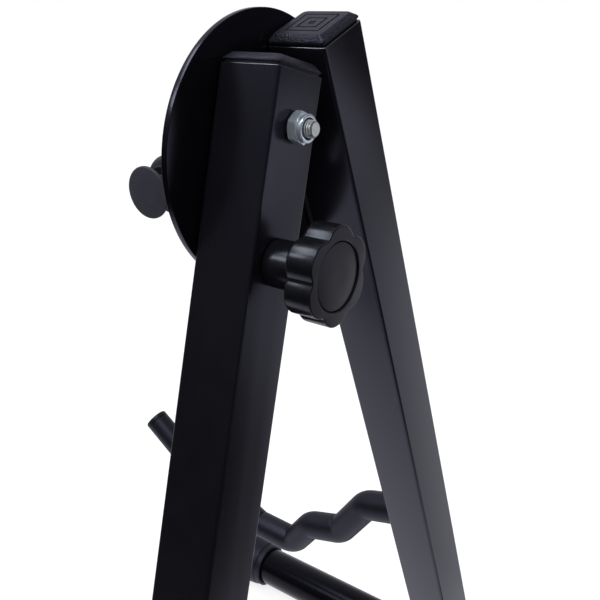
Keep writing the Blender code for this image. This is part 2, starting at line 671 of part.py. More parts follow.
def chamfered_hexagon(name, across_flats, height, finish):
    """A hexagonal prism whose top corners are turned off, from local zero up."""
    piece = prism(name, hexagon(across_flats), height, finish)
    corner = across_flats / math.sqrt(3)
    drop = (corner - across_flats / 2) * math.tan(math.radians(30))
    cone = turned(name + "_turning", [(0.0, height), (across_flats / 2, height),
                                      (corner + GAP, height - drop - GAP), (corner + GAP, -GAP),
                                      (0.0, -GAP)], None, TURN_STEPS, group=CUTTERS)
    as_cutter(cone)
    cut(piece, cone, "INTERSECT")
    return piece, cone


def make_pivot(parent):
    under_head = DISC_FRONT - GAP - HEAD_WASHER_THICKNESS - GAP
    bolt_end = LEG_HALF + PIVOT_BOLT_PROUD
    bolt, turning = chamfered_hexagon("pivot_bolt", HEAD_ACROSS_FLATS, HEAD_HEIGHT, ZINC)
    place(bolt, parent, under_head, PIVOT_Y, PIVOT_Z, ALONG_MINUS_X)
    place(turning, None, under_head, PIVOT_Y, PIVOT_Z, ALONG_MINUS_X)
    length = bolt_end - under_head
    shank = turned("pivot_shank", [(0.0, length), (BOLT_RADIUS - BOLT_END_CHAMFER, length),
                                   (BOLT_RADIUS, length - BOLT_END_CHAMFER),
                                   (BOLT_RADIUS, -HEAD_HEIGHT / 2), (0.0, -HEAD_HEIGHT / 2)],
                   None, SMALL_TURN_STEPS, group=CUTTERS)
    place(as_cutter(shank), None, under_head, PIVOT_Y, PIVOT_Z, ALONG_X)
    cut(bolt, shank, "UNION")

    washer = ring("pivot_head_washer", HEAD_WASHER_RADIUS, BORE_RADIUS, 0.0,
                  HEAD_WASHER_THICKNESS, ZINC)
    place(washer, parent, under_head + GAP, PIVOT_Y, PIVOT_Z, ALONG_X)

    nut_back = LEG_HALF + GAP
    nut, turning = chamfered_hexagon("pivot_lock_nut", NUT_ACROSS_FLATS, NUT_HEX_HEIGHT, ZINC)
    place(nut, parent, nut_back, PIVOT_Y, PIVOT_Z, ALONG_X)
    place(turning, None, nut_back, PIVOT_Y, PIVOT_Z, ALONG_X)
    collar_edge = NUT_COLLAR_RADIUS - BOLT_END_CHAMFER
    collar = turned("nut_collar", [(0.0, NUT_HEIGHT), (collar_edge, NUT_HEIGHT),
                                   (NUT_COLLAR_RADIUS, NUT_HEIGHT - BOLT_END_CHAMFER),
                                   (NUT_COLLAR_RADIUS, NUT_HEX_HEIGHT / 2),
                                   (0.0, NUT_HEX_HEIGHT / 2)],
                    None, TURN_STEPS, group=CUTTERS)
    place(as_cutter(collar), None, nut_back, PIVOT_Y, PIVOT_Z, ALONG_X)
    cut(nut, collar, "UNION")
    bore = round_cutter("nut_bore", BORE_RADIUS, 4 * NUT_HEIGHT, SMALL_TURN_STEPS)
    place(bore, None, nut_back - NUT_HEIGHT, PIVOT_Y, PIVOT_Z, ALONG_X)
    cut(nut, bore)
    seat_floor = NUT_HEIGHT - NUT_RING_THICKNESS - 2 * GAP
    seat = round_cutter("nut_ring_seat", NUT_RING_RADIUS, NUT_HEIGHT, SMALL_TURN_STEPS)
    place(seat, None, nut_back + seat_floor, PIVOT_Y, PIVOT_Z, ALONG_X)
    cut(nut, seat)
    insert = ring("lock_nut_nylon_ring", NUT_RING_RADIUS - GAP / 2, BOLT_RADIUS + GAP / 2,
                  0.0, NUT_RING_THICKNESS, NYLON)
    place(insert, parent, nut_back + seat_floor + GAP, PIVOT_Y, PIVOT_Z, ALONG_X)

    for name, y, z in (("pivot_slip_washer", PIVOT_Y, PIVOT_Z),
                       ("clamp_slip_washer", CLAMP_Y, CLAMP_Z)):
        slip = ring(name, SLIP_WASHER_RADIUS, BORE_RADIUS, 0.0, SLIP_WASHER_THICKNESS, NYLON)
        place(slip, parent, DISC_BACK + GAP, y, z, ALONG_X)


def make_clamp_bolt(parent):
    under_head = DISC_FRONT - GAP
    length = LEG_HALF + CLAMP_BOLT_PROUD - under_head
    rise = DOME_HEIGHT - DOME_HEIGHT / 4
    sphere = (DOME_RADIUS ** 2 + rise ** 2) / (2 * rise)
    dome = []
    for i in range(6):
        angle = math.asin(DOME_RADIUS / sphere) * (1 - i / 5)
        dome.append((sphere * math.sin(angle), -DOME_HEIGHT + sphere * (1 - math.cos(angle))))
    profile = [(0.0, length), (BOLT_RADIUS - BOLT_END_CHAMFER, length),
               (BOLT_RADIUS, length - BOLT_END_CHAMFER), (BOLT_RADIUS, 0.0), (DOME_RADIUS, 0.0)]
    bolt = turned("clamp_bolt", profile + dome, ZINC, SMALL_TURN_STEPS)
    place(bolt, parent, under_head, CLAMP_Y, CLAMP_Z, ALONG_X)


def bore_leg(tube):
    """Holes for the pivot bolt and the clamp bolt, straight through both walls."""
    for name, y, z in (("leg_pivot_hole", PIVOT_Y, PIVOT_Z), ("leg_clamp_hole", CLAMP_Y, CLAMP_Z)):
        hole = round_cutter(name, BORE_RADIUS, 2 * LEG_SIDE, SMALL_TURN_STEPS)
        place(hole, None, -LEG_SIDE, y, z, ALONG_X)
        cut(tube, hole)


# Knob

def lobed_outline(steps_lobe=7, steps_notch=3):
    """Round lobes joined by small round notches. A lobe's circle and a notch's circle touch,
    so the outline runs smoothly from one arc into the next."""
    lobe_centre = KNOB_RADIUS - KNOB_LOBE_RADIUS
    half_pitch = math.pi / KNOB_LOBES
    reach = KNOB_LOBE_RADIUS + KNOB_NOTCH_RADIUS
    notch_centre = (lobe_centre * math.cos(half_pitch)
                    + math.sqrt(reach ** 2 - (lobe_centre * math.sin(half_pitch)) ** 2))
    to_notch = Vector((notch_centre * math.cos(half_pitch) - lobe_centre,
                       notch_centre * math.sin(half_pitch)))
    touch = math.atan2(to_notch.y, to_notch.x)
    points = []
    for lobe in range(KNOB_LOBES):
        base = KNOB_TURNED + 2 * half_pitch * lobe
        centre = Vector((lobe_centre * math.cos(base), lobe_centre * math.sin(base)))
        for i in range(steps_lobe + 1):
            angle = base - touch + 2 * touch * i / steps_lobe
            points.append((centre.x + KNOB_LOBE_RADIUS * math.cos(angle),
                           centre.y + KNOB_LOBE_RADIUS * math.sin(angle)))
        middle = base + half_pitch
        hollow = Vector((notch_centre * math.cos(middle), notch_centre * math.sin(middle)))
        first = base + touch + math.pi
        last = base + 2 * half_pitch - touch + math.pi
        for i in range(1, steps_notch):
            angle = first + (last - first) * i / steps_notch
            points.append((hollow.x + KNOB_NOTCH_RADIUS * math.cos(angle),
                           hollow.y + KNOB_NOTCH_RADIUS * math.sin(angle)))
    return points


def make_knob(parent):
    body = prism("clamp_knob", lobed_outline(), KNOB_THICKNESS, KNOB_PLASTIC, KNOB_EDGE)
    place(body, parent, KNOB_BACK, CLAMP_Y, CLAMP_Z, ALONG_X)
    hub_face = LEG_HALF + GAP
    hub = turned("knob_hub", [(0.0, KNOB_HUB_LENGTH + KNOB_THICKNESS / 2),
                              (KNOB_HUB_RADIUS, KNOB_HUB_LENGTH + KNOB_THICKNESS / 2),
                              (KNOB_HUB_RADIUS, KNOB_EDGE), (KNOB_HUB_RADIUS - KNOB_EDGE, 0.0),
                              (0.0, 0.0)], None, TURN_STEPS, group=CUTTERS)
    place(as_cutter(hub), None, hub_face, CLAMP_Y, CLAMP_Z, ALONG_X)
    cut(body, hub, "UNION")
    face_seat = KNOB_THICKNESS - KNOB_FACE_THICKNESS - GAP
    recess = round_cutter("knob_recess", KNOB_FACE_RADIUS + GAP, KNOB_THICKNESS)
    place(recess, None, KNOB_BACK + face_seat, CLAMP_Y, CLAMP_Z, ALONG_X)
    cut(body, recess)
    bore = round_cutter("knob_bore", INSERT_RADIUS + GAP, INSERT_LENGTH + 2 * GAP,
                        SMALL_TURN_STEPS)
    place(bore, None, hub_face - GAP, CLAMP_Y, CLAMP_Z, ALONG_X)
    cut(body, bore)
    relief = round_cutter("knob_relief", BORE_RADIUS, CLAMP_BOLT_PROUD + 2 * GAP, SMALL_TURN_STEPS)
    place(relief, None, hub_face - GAP, CLAMP_Y, CLAMP_Z, ALONG_X)
    cut(body, relief)

    thickness = KNOB_FACE_THICKNESS
    profile = [(0.0, thickness - KNOB_FACE_DISH),
               (KNOB_FACE_RADIUS / 2, thickness - KNOB_FACE_DISH * 0.75),
               (KNOB_FACE_RADIUS - 2 * GAP, thickness), (KNOB_FACE_RADIUS, thickness - 2 * GAP),
               (KNOB_FACE_RADIUS, 0.0), (0.0, 0.0)]
    face = turned("knob_face_cap", profile, KNOB_PLASTIC)
    place(face, parent, KNOB_BACK + face_seat + GAP, CLAMP_Y, CLAMP_Z, ALONG_X)

    insert = ring("knob_threaded_insert", INSERT_RADIUS, BORE_RADIUS, 0.0, INSERT_LENGTH, BRASS)
    place(insert, parent, hub_face, CLAMP_Y, CLAMP_Z, ALONG_X)


def joint_empty(name, y, z):
    marker = bpy.data.objects.new(name, None)
    STAND.objects.link(marker)
    marker.location = (-MIDDLE_X, y, z)
    return marker


FOLD_AXIS = joint_empty("leg_fold_axis", PIVOT_Y, PIVOT_Z)
KNOB_AXIS = joint_empty("knob_axis", CLAMP_Y, CLAMP_Z)

make_leg("fixed", FIXED_LEG_LENGTH, 1, None, FIXED_LEG_X)
make_foot("fixed", 1, None, FIXED_LEG_X)
make_arm("fixed", 1, None, FIXED_LEG_X)
make_disc(None)
make_rest(None)

bore_leg(make_leg("folding", FOLDING_LEG_LENGTH, -1, FOLD_AXIS, 0.0))
make_foot("folding", -1, FOLD_AXIS, 0.0)
make_arm("folding", -1, FOLD_AXIS, 0.0)
make_pivot(FOLD_AXIS)
make_clamp_bolt(FOLD_AXIS)
make_knob(KNOB_AXIS)

for item in STAND.objects:
    if item.type == "MESH" and "sleeve" not in item.name:
        item.data.set_sharp_from_angle(angle=math.radians(35))
print("hinge axis at y %.4f z %.4f" % (PIVOT_Y, PIVOT_Z))
print("knob axis at y %.4f z %.4f" % (CLAMP_Y, CLAMP_Z))
print("leg middle plane at x %.4f" % -MIDDLE_X)
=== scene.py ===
# %% [markdown]
# # Dressing a folding guitar stand
#
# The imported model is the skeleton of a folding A-frame guitar stand: two legs of square tube, a
# hinge disc between them, a clamp knob, two arms and a padded rest. It is accurate but faceted.
# This lesson gives each piece the surface of the real one. Everything is in metres, in the packed
# model's own frame, so a new piece goes exactly where the solid that it stands for is.
# %% Load the frame
import json
import math

import bmesh
import bpy
from mathutils import Matrix, Vector


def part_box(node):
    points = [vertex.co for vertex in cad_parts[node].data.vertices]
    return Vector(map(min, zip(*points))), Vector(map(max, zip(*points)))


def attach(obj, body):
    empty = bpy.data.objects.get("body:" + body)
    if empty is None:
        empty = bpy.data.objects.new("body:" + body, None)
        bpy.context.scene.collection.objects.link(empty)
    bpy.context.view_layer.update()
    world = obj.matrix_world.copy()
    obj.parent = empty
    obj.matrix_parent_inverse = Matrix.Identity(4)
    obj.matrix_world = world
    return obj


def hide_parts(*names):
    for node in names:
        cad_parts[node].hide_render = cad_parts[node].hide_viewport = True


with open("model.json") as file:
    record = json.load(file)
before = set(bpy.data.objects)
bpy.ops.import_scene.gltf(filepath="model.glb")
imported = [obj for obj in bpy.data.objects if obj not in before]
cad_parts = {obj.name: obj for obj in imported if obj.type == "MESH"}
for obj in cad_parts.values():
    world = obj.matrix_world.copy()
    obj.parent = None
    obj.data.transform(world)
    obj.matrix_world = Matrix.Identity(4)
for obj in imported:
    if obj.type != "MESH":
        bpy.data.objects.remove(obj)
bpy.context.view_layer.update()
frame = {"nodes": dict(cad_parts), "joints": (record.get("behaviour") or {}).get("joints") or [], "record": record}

# %% [markdown]
# The sizes come from the imported solids, not from a list of numbers. A leg leans, so it gets a
# frame of its own: local Z runs up the tube and local X along the hinge bolt. A piece is modelled
# upright in that frame and its mesh is then moved to its place, which keeps its object at the
# origin. The record says which body a node belongs to, so a new piece rides with the body of the
# node that it stands for.
# %% Read places and sizes from the frame
MM = 0.001
FIT = 0.3 * MM


def size_of(node):
    low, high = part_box(node)
    return high - low


def middle_of(node):
    low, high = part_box(node)
    return (low + high) / 2


joints = {joint["name"]: joint for joint in frame["joints"]}
pivot = Vector(joints["leg_fold"]["pos_m"])
clamp = Vector(joints["knob_turn"]["pos_m"])
foot = middle_of("folding_foot_tube")
lean = math.atan2(pivot.y - foot.y, pivot.z - foot.z)
leg_side = size_of("folding_leg_tube").x
leg_half = leg_side / 2
SIDE = {"fixed": 1, "folding": -1}
record = frame["record"]
BODY_OF = {node: body for body, nodes in record["behaviour"]["bodies"].items() for node in nodes}
print("leans %.2f degrees, tube %.1f mm" % (math.degrees(lean), leg_side / MM))

# %% A leg's own frame


def leg_frame(leg):
    """Origin on the leg's axis at the pivot's height along it, Z up the tube."""
    side = SIDE[leg]
    x = middle_of(leg + "_leg_tube").x
    place = Matrix.Translation((x, -side * pivot.y, pivot.z))
    return place @ Matrix.Rotation(side * lean, 4, "X")


def tube_top(leg):
    """The tube's open end, measured up the leg from the pivot's height."""
    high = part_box(leg + "_leg_tube")[1]
    return (high.z - pivot.z - leg_half * math.sin(lean)) / math.cos(lean)


leg_x = middle_of("folding_leg_tube").x
print("tube tops at %.1f and %.1f mm above the pivot" % (tube_top("folding") / MM,
                                                         tube_top("fixed") / MM))

# %% [markdown]
# ## Camera and light
#
# The photograph looks at the hinge from behind and slightly above, close up. Its lens and place
# were worked out from the edges of the two square tubes. Gloss black shows almost nothing but
# what it mirrors, so it gets its shape from what stands round it: a face that mirrors the white
# floor and wall shines, and one that mirrors the dim side of the room stays black. The world
# therefore has two rooms. Matt surfaces are lit by an even one, so that their colours come out as
# written, and mirroring surfaces see a dim one with a pale wall.
# %% Camera
scene = bpy.context.scene
scene.view_settings.view_transform = "Standard"
PHOTO_SIDE = 600
SENSOR = 36.0
FOCAL_PIXELS = 782.7
CENTRE_PIXEL = (303.94, 252.89)
LOOK = Vector((-0.5589, 0.7513, -0.3511))
DOWN = Vector((0.1756, -0.3065, -0.9355))
camera_data = bpy.data.cameras.new("photo_camera")
camera_data.sensor_width = SENSOR
camera_data.lens = SENSOR * FOCAL_PIXELS / PHOTO_SIDE
camera_data.shift_x = (PHOTO_SIDE / 2 - CENTRE_PIXEL[0]) / PHOTO_SIDE
camera_data.shift_y = (CENTRE_PIXEL[1] - PHOTO_SIDE / 2) / PHOTO_SIDE
camera_data.clip_start = 0.01
camera = bpy.data.objects.new("photo_camera", camera_data)
scene.collection.objects.link(camera)
back = -LOOK.normalized()
right = LOOK.cross(-DOWN).normalized()
upward = back.cross(right)
turn = Matrix((right, upward, back)).transposed().to_4x4()
CAMERA_PLACE = Vector((leg_x + 0.1661, -0.2244, 0.4609))
camera.matrix_world = Matrix.Translation(CAMERA_PLACE) @ turn
scene.camera = camera
print("lens %.1f mm at %s" % (camera_data.lens, tuple(round(c, 4) for c in CAMERA_PLACE)))

# %% Node helpers


def add_node(tree, kind, inputs={}, **settings):
    """A new node. Each input is given a value, or another node's output to be joined to."""
    node = tree.nodes.new(kind)
    for name, value in settings.items():
        setattr(node, name, value)
    for key, value in inputs.items():
        if isinstance(value, bpy.types.NodeSocket):
            tree.links.new(value, node.inputs[key])
        else:
            node.inputs[key].default_value = value
    return node


def arithmetic(tree, how, *values):
    return add_node(tree, "ShaderNodeMath", dict(enumerate(values)), operation=how).outputs[0]


def ramp(tree, value, low, high):
    """Nothing at low, all of it at high, and smooth between them."""
    return add_node(tree, "ShaderNodeMapRange",
                    {"Value": value, "From Min": low, "From Max": high},
                    interpolation_type="SMOOTHSTEP").outputs[0]


def colour_mix(tree, factor, one, two):
    one, two = [(*value, 1.0) if isinstance(value, tuple) else value for value in (one, two)]
    return add_node(tree, "ShaderNodeMix", {"Factor": factor, "A": one, "B": two},
                    data_type="RGBA").outputs["Result"]


# %% World
WALL_DIRECTION = Vector((-0.68, 0.68, 0.28)).normalized()
ROOM_LEVEL = 0.60
DIM_LOW = (0.03, 0.03, 0.035)
DIM_HIGH = (0.19, 0.20, 0.22)
WALL_LEVEL = (0.45, 0.46, 0.50)


def make_world():
    """White to the camera, even to matt surfaces, and a dim room with a pale wall in mirrors."""
    world = bpy.data.worlds.new("studio")
    world.use_nodes = True
    tree = world.node_tree
    tree.nodes.clear()
    direction = add_node(tree, "ShaderNodeTexCoord").outputs["Generated"]
    split = add_node(tree, "ShaderNodeSeparateXYZ", {0: direction})
    facing = add_node(tree, "ShaderNodeVectorMath", {0: direction, 1: WALL_DIRECTION},
                      operation="DOT_PRODUCT")
    room = colour_mix(tree, ramp(tree, split.outputs["Z"], 0.0, 0.6), DIM_LOW, DIM_HIGH)
    mirrored = colour_mix(tree, ramp(tree, facing.outputs["Value"], 0.25, 0.85), room, WALL_LEVEL)
    ray = add_node(tree, "ShaderNodeLightPath")
    unseen = colour_mix(tree, ray.outputs["Is Glossy Ray"], (ROOM_LEVEL,) * 3, mirrored)
    shown = colour_mix(tree, ray.outputs["Is Camera Ray"], unseen, (1.0, 1.0, 1.0))
    light = add_node(tree, "ShaderNodeBackground", {"Color": shown})
    add_node(tree, "ShaderNodeOutputWorld", {"Surface": light.outputs[0]})
    return world


scene.world = make_world()
print("world:", scene.world.name)

# %% [markdown]
# The floor is one large plane just under the boots. It has a pale diffuse surface, which takes
# the stand's shadow, and a glow that only the camera sees, so that it reads as the white of a
# paper sweep without throwing more light on the stand. In reflections it glows with painted
# light: soft round pools of painted light and one painted dark patch. A photographer gets the
# same from lamps and a black flag, and each leaning face of the tubes fades from light to dark as
# it mirrors them.
# %% Floor
FLOOR_SIDE = 12.0
PAPER_COLOUR = (0.35, 0.35, 0.35, 1.0)
PAPER_GLOW = 0.80
# Each painted patch of glow: x from the folding leg, y from the stand's middle, even out to, faded
# out at, all in metres, and its strength.
POOLS = ((-0.17, -0.05, 0.25, 0.55, 0.85), (0.03, 0.70, 0.1, 1.35, 0.70),
         (2.05, 1.05, 0.8, 1.7, 1.0), (-1.30, 0.35, 0.3, 0.9, 1.0),
         (-0.35, 1.15, 0.3, 0.7, 1.0), (-1.20, 3.00, 1.2, 2.2, 1.0))
POOL_TINT = (0.96, 0.96, 1.06, 1.0)
# The painted dark patch, in the same columns, is taken off the glow of the pools.
PAINTED_DARK_PATCH = (0.50, 0.10, 0.20, 0.42, 0.90)


def round_patch(tree, spot, x, y, full, gone, strength):
    """A round patch, even out to full metres from its middle and faded out at gone metres."""
    away = add_node(tree, "ShaderNodeVectorMath", {0: spot, 1: (leg_x + x, y, 0.0)},
                    operation="DISTANCE")
    fade = ramp(tree, away.outputs["Value"], full, gone)
    return arithmetic(tree, "MULTIPLY_ADD", fade, -strength, strength)


def mirrored_level(tree):
    """How bright the floor is in reflections: the brightest painted pool of light, less the painted dark patch."""
    spot = add_node(tree, "ShaderNodeTexCoord").outputs["Object"]
    level = round_patch(tree, spot, *POOLS[0])
    for patch in POOLS[1:]:
        level = arithmetic(tree, "MAXIMUM", level, round_patch(tree, spot, *patch))
    shade = arithmetic(tree, "MULTIPLY_ADD", round_patch(tree, spot, *PAINTED_DARK_PATCH), -1.0, 1.0)
    return arithmetic(tree, "MULTIPLY", level, shade)


def glowing(tree, level, colour):
    glow = {"Color": colour, "Strength": level}
    return add_node(tree, "ShaderNodeEmission", glow).outputs[0]


def make_floor():
    shape = bmesh.new()
    bmesh.ops.create_grid(shape, x_segments=1, y_segments=1, size=FLOOR_SIDE / 2)
    mesh = bpy.data.meshes.new("floor")
    shape.to_mesh(mesh)
    shape.free()
    finish = bpy.data.materials.new("white_paper_with_painted_pools")
    finish.use_nodes = True
    tree = finish.node_tree
    tree.nodes.clear()
    paper = add_node(tree, "ShaderNodeBsdfDiffuse", {"Color": PAPER_COLOUR})
    ray = add_node(tree, "ShaderNodeLightPath")
    seen = arithmetic(tree, "MULTIPLY", ray.outputs["Is Camera Ray"], PAPER_GLOW)
    both = add_node(tree, "ShaderNodeAddShader",
                    {0: paper.outputs[0], 1: glowing(tree, seen, (1.0, 1.0, 1.0, 1.0))})
    choose = add_node(tree, "ShaderNodeMixShader",
                      {0: ray.outputs["Is Glossy Ray"], 1: both.outputs[0],
                       2: glowing(tree, mirrored_level(tree), POOL_TINT)})
    add_node(tree, "ShaderNodeOutputMaterial", {"Surface": choose.outputs[0]})
    mesh.materials.append(finish)
    floor = bpy.data.objects.new("floor", mesh)
    scene.collection.objects.link(floor)


make_floor()
print("floor %.0f m square" % FLOOR_SIDE)

# %% [markdown]
# Four soft boxes do the rest. A wide one stands in front, a strong one hangs over the open side
# for the caps and the knob's rims, a strip lights the arms, and a small one puts a glint on the
# nut. They hang high, so that the upright faces do not mirror them.
# %% Soft lights
LAMP_COLOUR = (0.94, 0.97, 1.0)


def soft_light(name, place, aim, width, height, power):
    data = bpy.data.lights.new(name, "AREA")
    data.shape = "RECTANGLE"
    data.size = width
    data.size_y = height
    data.energy = power
    data.color = LAMP_COLOUR
    light = bpy.data.objects.new(name, data)
    scene.collection.objects.link(light)
    away = (Vector(place) - Vector(aim)).normalized()
    turn = away.to_track_quat("Z", "Y").to_matrix().to_4x4()
    light.matrix_world = Matrix.Translation(place) @ turn


hinge = (leg_x, 0.0, pivot.z)
soft_light("front_softbox", (0.03, -1.15, 1.50), hinge, 1.6, 0.7, 1.2)
soft_light("key_softbox", (leg_x, -0.56, 1.69), hinge, 0.45, 0.60, 8.0)
soft_light("strip_softbox", (leg_x - 0.74, -0.33, 1.54), (leg_x, -0.33, pivot.z), 0.75, 0.34, 4.2)
soft_light("side_softbox", (leg_x - 0.84, -0.78, 1.21), hinge, 0.30, 0.30, 1.9)

# %% [markdown]
# ## Finishes
#
# Nothing on the stand is a flat colour. Powder coat has a fine orange peel, moulded plastic a
# spark-eroded grain, rubber a dull mottle and zinc plate a faint blue film. Each finish
# starts from the same recipe, a Principled shader whose colour, roughness and bump are varied by
# noise on Object coordinates. The pieces' objects are all at the origin, so the grain has its
# real size and stays put when the stand folds.
# %% Noise and bump


def shader_of(finish):
    return finish.node_tree.nodes["Principled BSDF"]


def noise_of(finish, grain, detail, stretch=(1.0, 1.0, 1.0)):
    """Noise whose lumps are about grain metres across."""
    tree = finish.node_tree
    place = add_node(tree, "ShaderNodeTexCoord").outputs["Object"]
    mapping = add_node(tree, "ShaderNodeMapping", {"Scale": stretch, "Vector": place})
    return add_node(tree, "ShaderNodeTexNoise", {"Scale": 1.0 / grain, "Detail": detail,
                                                 "Vector": mapping.outputs[0]}).outputs["Fac"]


def bump(finish, heights, depth, strength):
    """Raise the surface by up to depth metres where heights is white, on any bump before it."""
    tree = finish.node_tree
    socket = shader_of(finish).inputs["Normal"]
    node = add_node(tree, "ShaderNodeBump",
                    {"Strength": strength, "Distance": depth, "Height": heights})
    if socket.is_linked:
        tree.links.new(socket.links[0].from_socket, node.inputs["Normal"])
    tree.links.new(node.outputs[0], socket)


# %% The recipe for a finish
COOL = (0.69, 0.69, 0.97)
NEUTRAL = (1.0, 1.0, 1.0)


def make_finish(name, colours, mottle, rough, relief, sheen=COOL, metallic=0.0):
    """One finish. colours is one colour, or two that the mottle blends. mottle is a noise's grain
    and detail, rough a noise and the roughness's ends, relief a noise, its depth and strength."""
    finish = bpy.data.materials.new(name)
    finish.use_nodes = True
    tree = finish.node_tree
    shader = shader_of(finish)
    shader.inputs["Base Color"].default_value = (*colours[0], 1.0)
    shader.inputs["Metallic"].default_value = metallic
    shader.inputs["Specular Tint"].default_value = (*sheen, 1.0)
    if mottle:
        tree.links.new(colour_mix(tree, noise_of(finish, *mottle), *colours),
                       shader.inputs["Base Color"])
    grain, detail, low, high = rough
    uneven = arithmetic(tree, "MULTIPLY_ADD", noise_of(finish, grain, detail), high - low, low)
    tree.links.new(uneven, shader.inputs["Roughness"])
    if relief:
        grain, detail, depth, strength = relief
        bump(finish, noise_of(finish, grain, detail), depth, strength)
    return finish


# %% [markdown]
# Powder coat is a baked plastic skin on the steel. It is near black, faintly blue, and smooth
# enough to mirror a soft light as a broad glow. The orange peel is far finer than a hand feels,
# so its bump is only a few thousandths of a millimetre deep. The disc has a glossier coat, and
# the cross tubes at the feet a darker lacquer.
# %% Black paints
POWDER_COAT = make_finish("satin_powder_coat", ((0.005, 0.005, 0.0065), (0.008, 0.008, 0.0105)),
                          (0.012, 2.0), (0.004, 4.0, 0.20, 0.27), (0.0011, 2.0, 0.000008, 0.5))
GLOSS_COAT = make_finish("gloss_powder_coat", ((0.003, 0.003, 0.004),), None,
                         (0.006, 3.0, 0.17, 0.23), (0.0016, 2.0, 0.000006, 0.4))
TUBE_LACQUER = make_finish("foot_tube_lacquer", ((0.003, 0.003, 0.004),), None,
                           (0.005, 3.0, 0.19, 0.26), (0.0013, 2.0, 0.000006, 0.4),
                           (0.16, 0.16, 0.24))
WELD = make_finish("painted_weld", ((0.004, 0.004, 0.005),), None, (0.002, 3.0, 0.30, 0.46),
                   (0.0012, 3.0, 0.00012, 0.5))
print("paints:", POWDER_COAT.name, GLOSS_COAT.name, TUBE_LACQUER.name, WELD.name)

# %% [markdown]
# The caps and the knob are moulded plastic. The caps' tool was spark-eroded, which leaves a
# sparkling grain of about half a millimetre: noise pushed through a steep ramp, so that it has
# flat tops and flat floors, and raised by a bump. The knob's tool was polished, so its lobes
# catch long highlights, and only its outer face has a satin texture.
# %% Plastics and rubbers
CAP_PLASTIC = make_finish("grained_cap_plastic", ((0.004, 0.004, 0.006), (0.016, 0.016, 0.022)),
                          (0.0006, 3.0), (0.0009, 3.0, 0.28, 0.44), None)
grains = ramp(CAP_PLASTIC.node_tree, noise_of(CAP_PLASTIC, 0.0007, 2.0), 0.38, 0.62)
bump(CAP_PLASTIC, grains, 0.00016, 1.0)


def knob_plastic(name, sheen, low, high):
    return make_finish(name, ((0.003, 0.003, 0.004), (0.008, 0.008, 0.010)), (0.003, 4.0),
                       (0.0015, 4.0, low, high), (0.00045, 2.0, 0.000012, 0.5), sheen)


def rubber(name, dark, light, low, high):
    return make_finish(name, (dark, light), (0.004, 4.0), (0.002, 3.0, low, high),
                       (0.0005, 3.0, 0.00002, 0.5))


KNOB_PLASTIC = knob_plastic("polished_knob_plastic", (0.82, 0.87, 1.0), 0.18, 0.28)
KNOB_FACE = knob_plastic("satin_knob_face", (0.40, 0.41, 0.53), 0.26, 0.36)
BLACK_RUBBER = rubber("black_rubber_skin", (0.004, 0.004, 0.005), (0.008, 0.008, 0.010), 0.38,
                      0.50)
BOOT_RUBBER = rubber("boot_rubber", (0.005, 0.005, 0.006), (0.010, 0.010, 0.012), 0.40, 0.52)
GREY_RUBBER = rubber("grey_rubber_skin", (0.032, 0.033, 0.041), (0.048, 0.049, 0.060), 0.44,
                     0.56)
NYLON = rubber("black_nylon", (0.012, 0.012, 0.014), (0.022, 0.022, 0.025), 0.40, 0.52)
print("plastics and rubbers:", CAP_PLASTIC.name, KNOB_PLASTIC.name, BLACK_RUBBER.name,
      GREY_RUBBER.name)

# %% [markdown]
# The nut and bolts are zinc plated. The plate is bright and a little blue, with fine marks from
# tumbling. A clear film on it is partly cloudy, so Metallic is under 1: a polished metal would
# only mirror the black leg beside it. The bolt's end is bare steel with a sawn grain, the thread's
# roots get a darker grey as painted shade between the crests, and the tubes' cut edges shine a
# little through thin paint.
# %% Metals


def zinc(name, dark, light, low, high, metallic=1.0):
    return make_finish(name, (dark, light), (0.0016, 3.0), (0.0008, 3.0, low, high),
                       (0.0003, 2.0, 0.000005, 0.4), NEUTRAL, metallic)


ZINC = zinc("blue_zinc_plate", (0.54, 0.66, 0.80), (0.86, 0.91, 0.96), 0.10, 0.20, 0.74)
BOLT_ZINC = zinc("clear_zinc_plate", (0.74, 0.77, 0.80), (0.92, 0.94, 0.96), 0.14, 0.26, 0.66)
CUT_STEEL = zinc("cut_bolt_steel", (0.66, 0.66, 0.65), (0.95, 0.95, 0.94), 0.24, 0.40)
bump(CUT_STEEL, noise_of(CUT_STEEL, 0.0005, 4.0, (1.0, 3.0, 1.0)), 0.00008, 0.7)
# Painted shade: a darker, duller zinc grey for the thread's roots, standing for the shade between the crests.
THREAD_ROOT_SHADE = zinc("painted_shade_thread_root", (0.20, 0.21, 0.22), (0.34, 0.35, 0.36), 0.34, 0.50, 0.90)
WORN_EDGE = zinc("thin_paint_on_edge", (0.12, 0.12, 0.14), (0.28, 0.28, 0.32), 0.20, 0.32)
BRASS = zinc("insert_brass", (0.50, 0.35, 0.13), (0.70, 0.52, 0.22), 0.28, 0.42)
print("metals:", ZINC.name, BOLT_ZINC.name, CUT_STEEL.name, BRASS.name)

# %% [markdown]
# ## Tools for the pieces
#
# Most of the stand is turned, bent or cut from bar and tube, so a few helpers cover it: one rounds
# the corners of a line, one turns a line about an axis, one sweeps a round section along a line,
# and others make a square block, drill and trim. A shape is finished by moving it to its place,
# turning its faces outwards and shading it smooth up to a set angle.
# %% Rounding a line's corners


def arc_between(start, end, steps):
    """Points on the arc from one radius vector to another, both ends included."""
    sweep = start.angle(end)
    points = []
    for i in range(steps + 1):
        share = i / steps
        low = math.sin((1 - share) * sweep) / math.sin(sweep)
        high = math.sin(share * sweep) / math.sin(sweep)
        points.append(start * low + end * high)
    return points


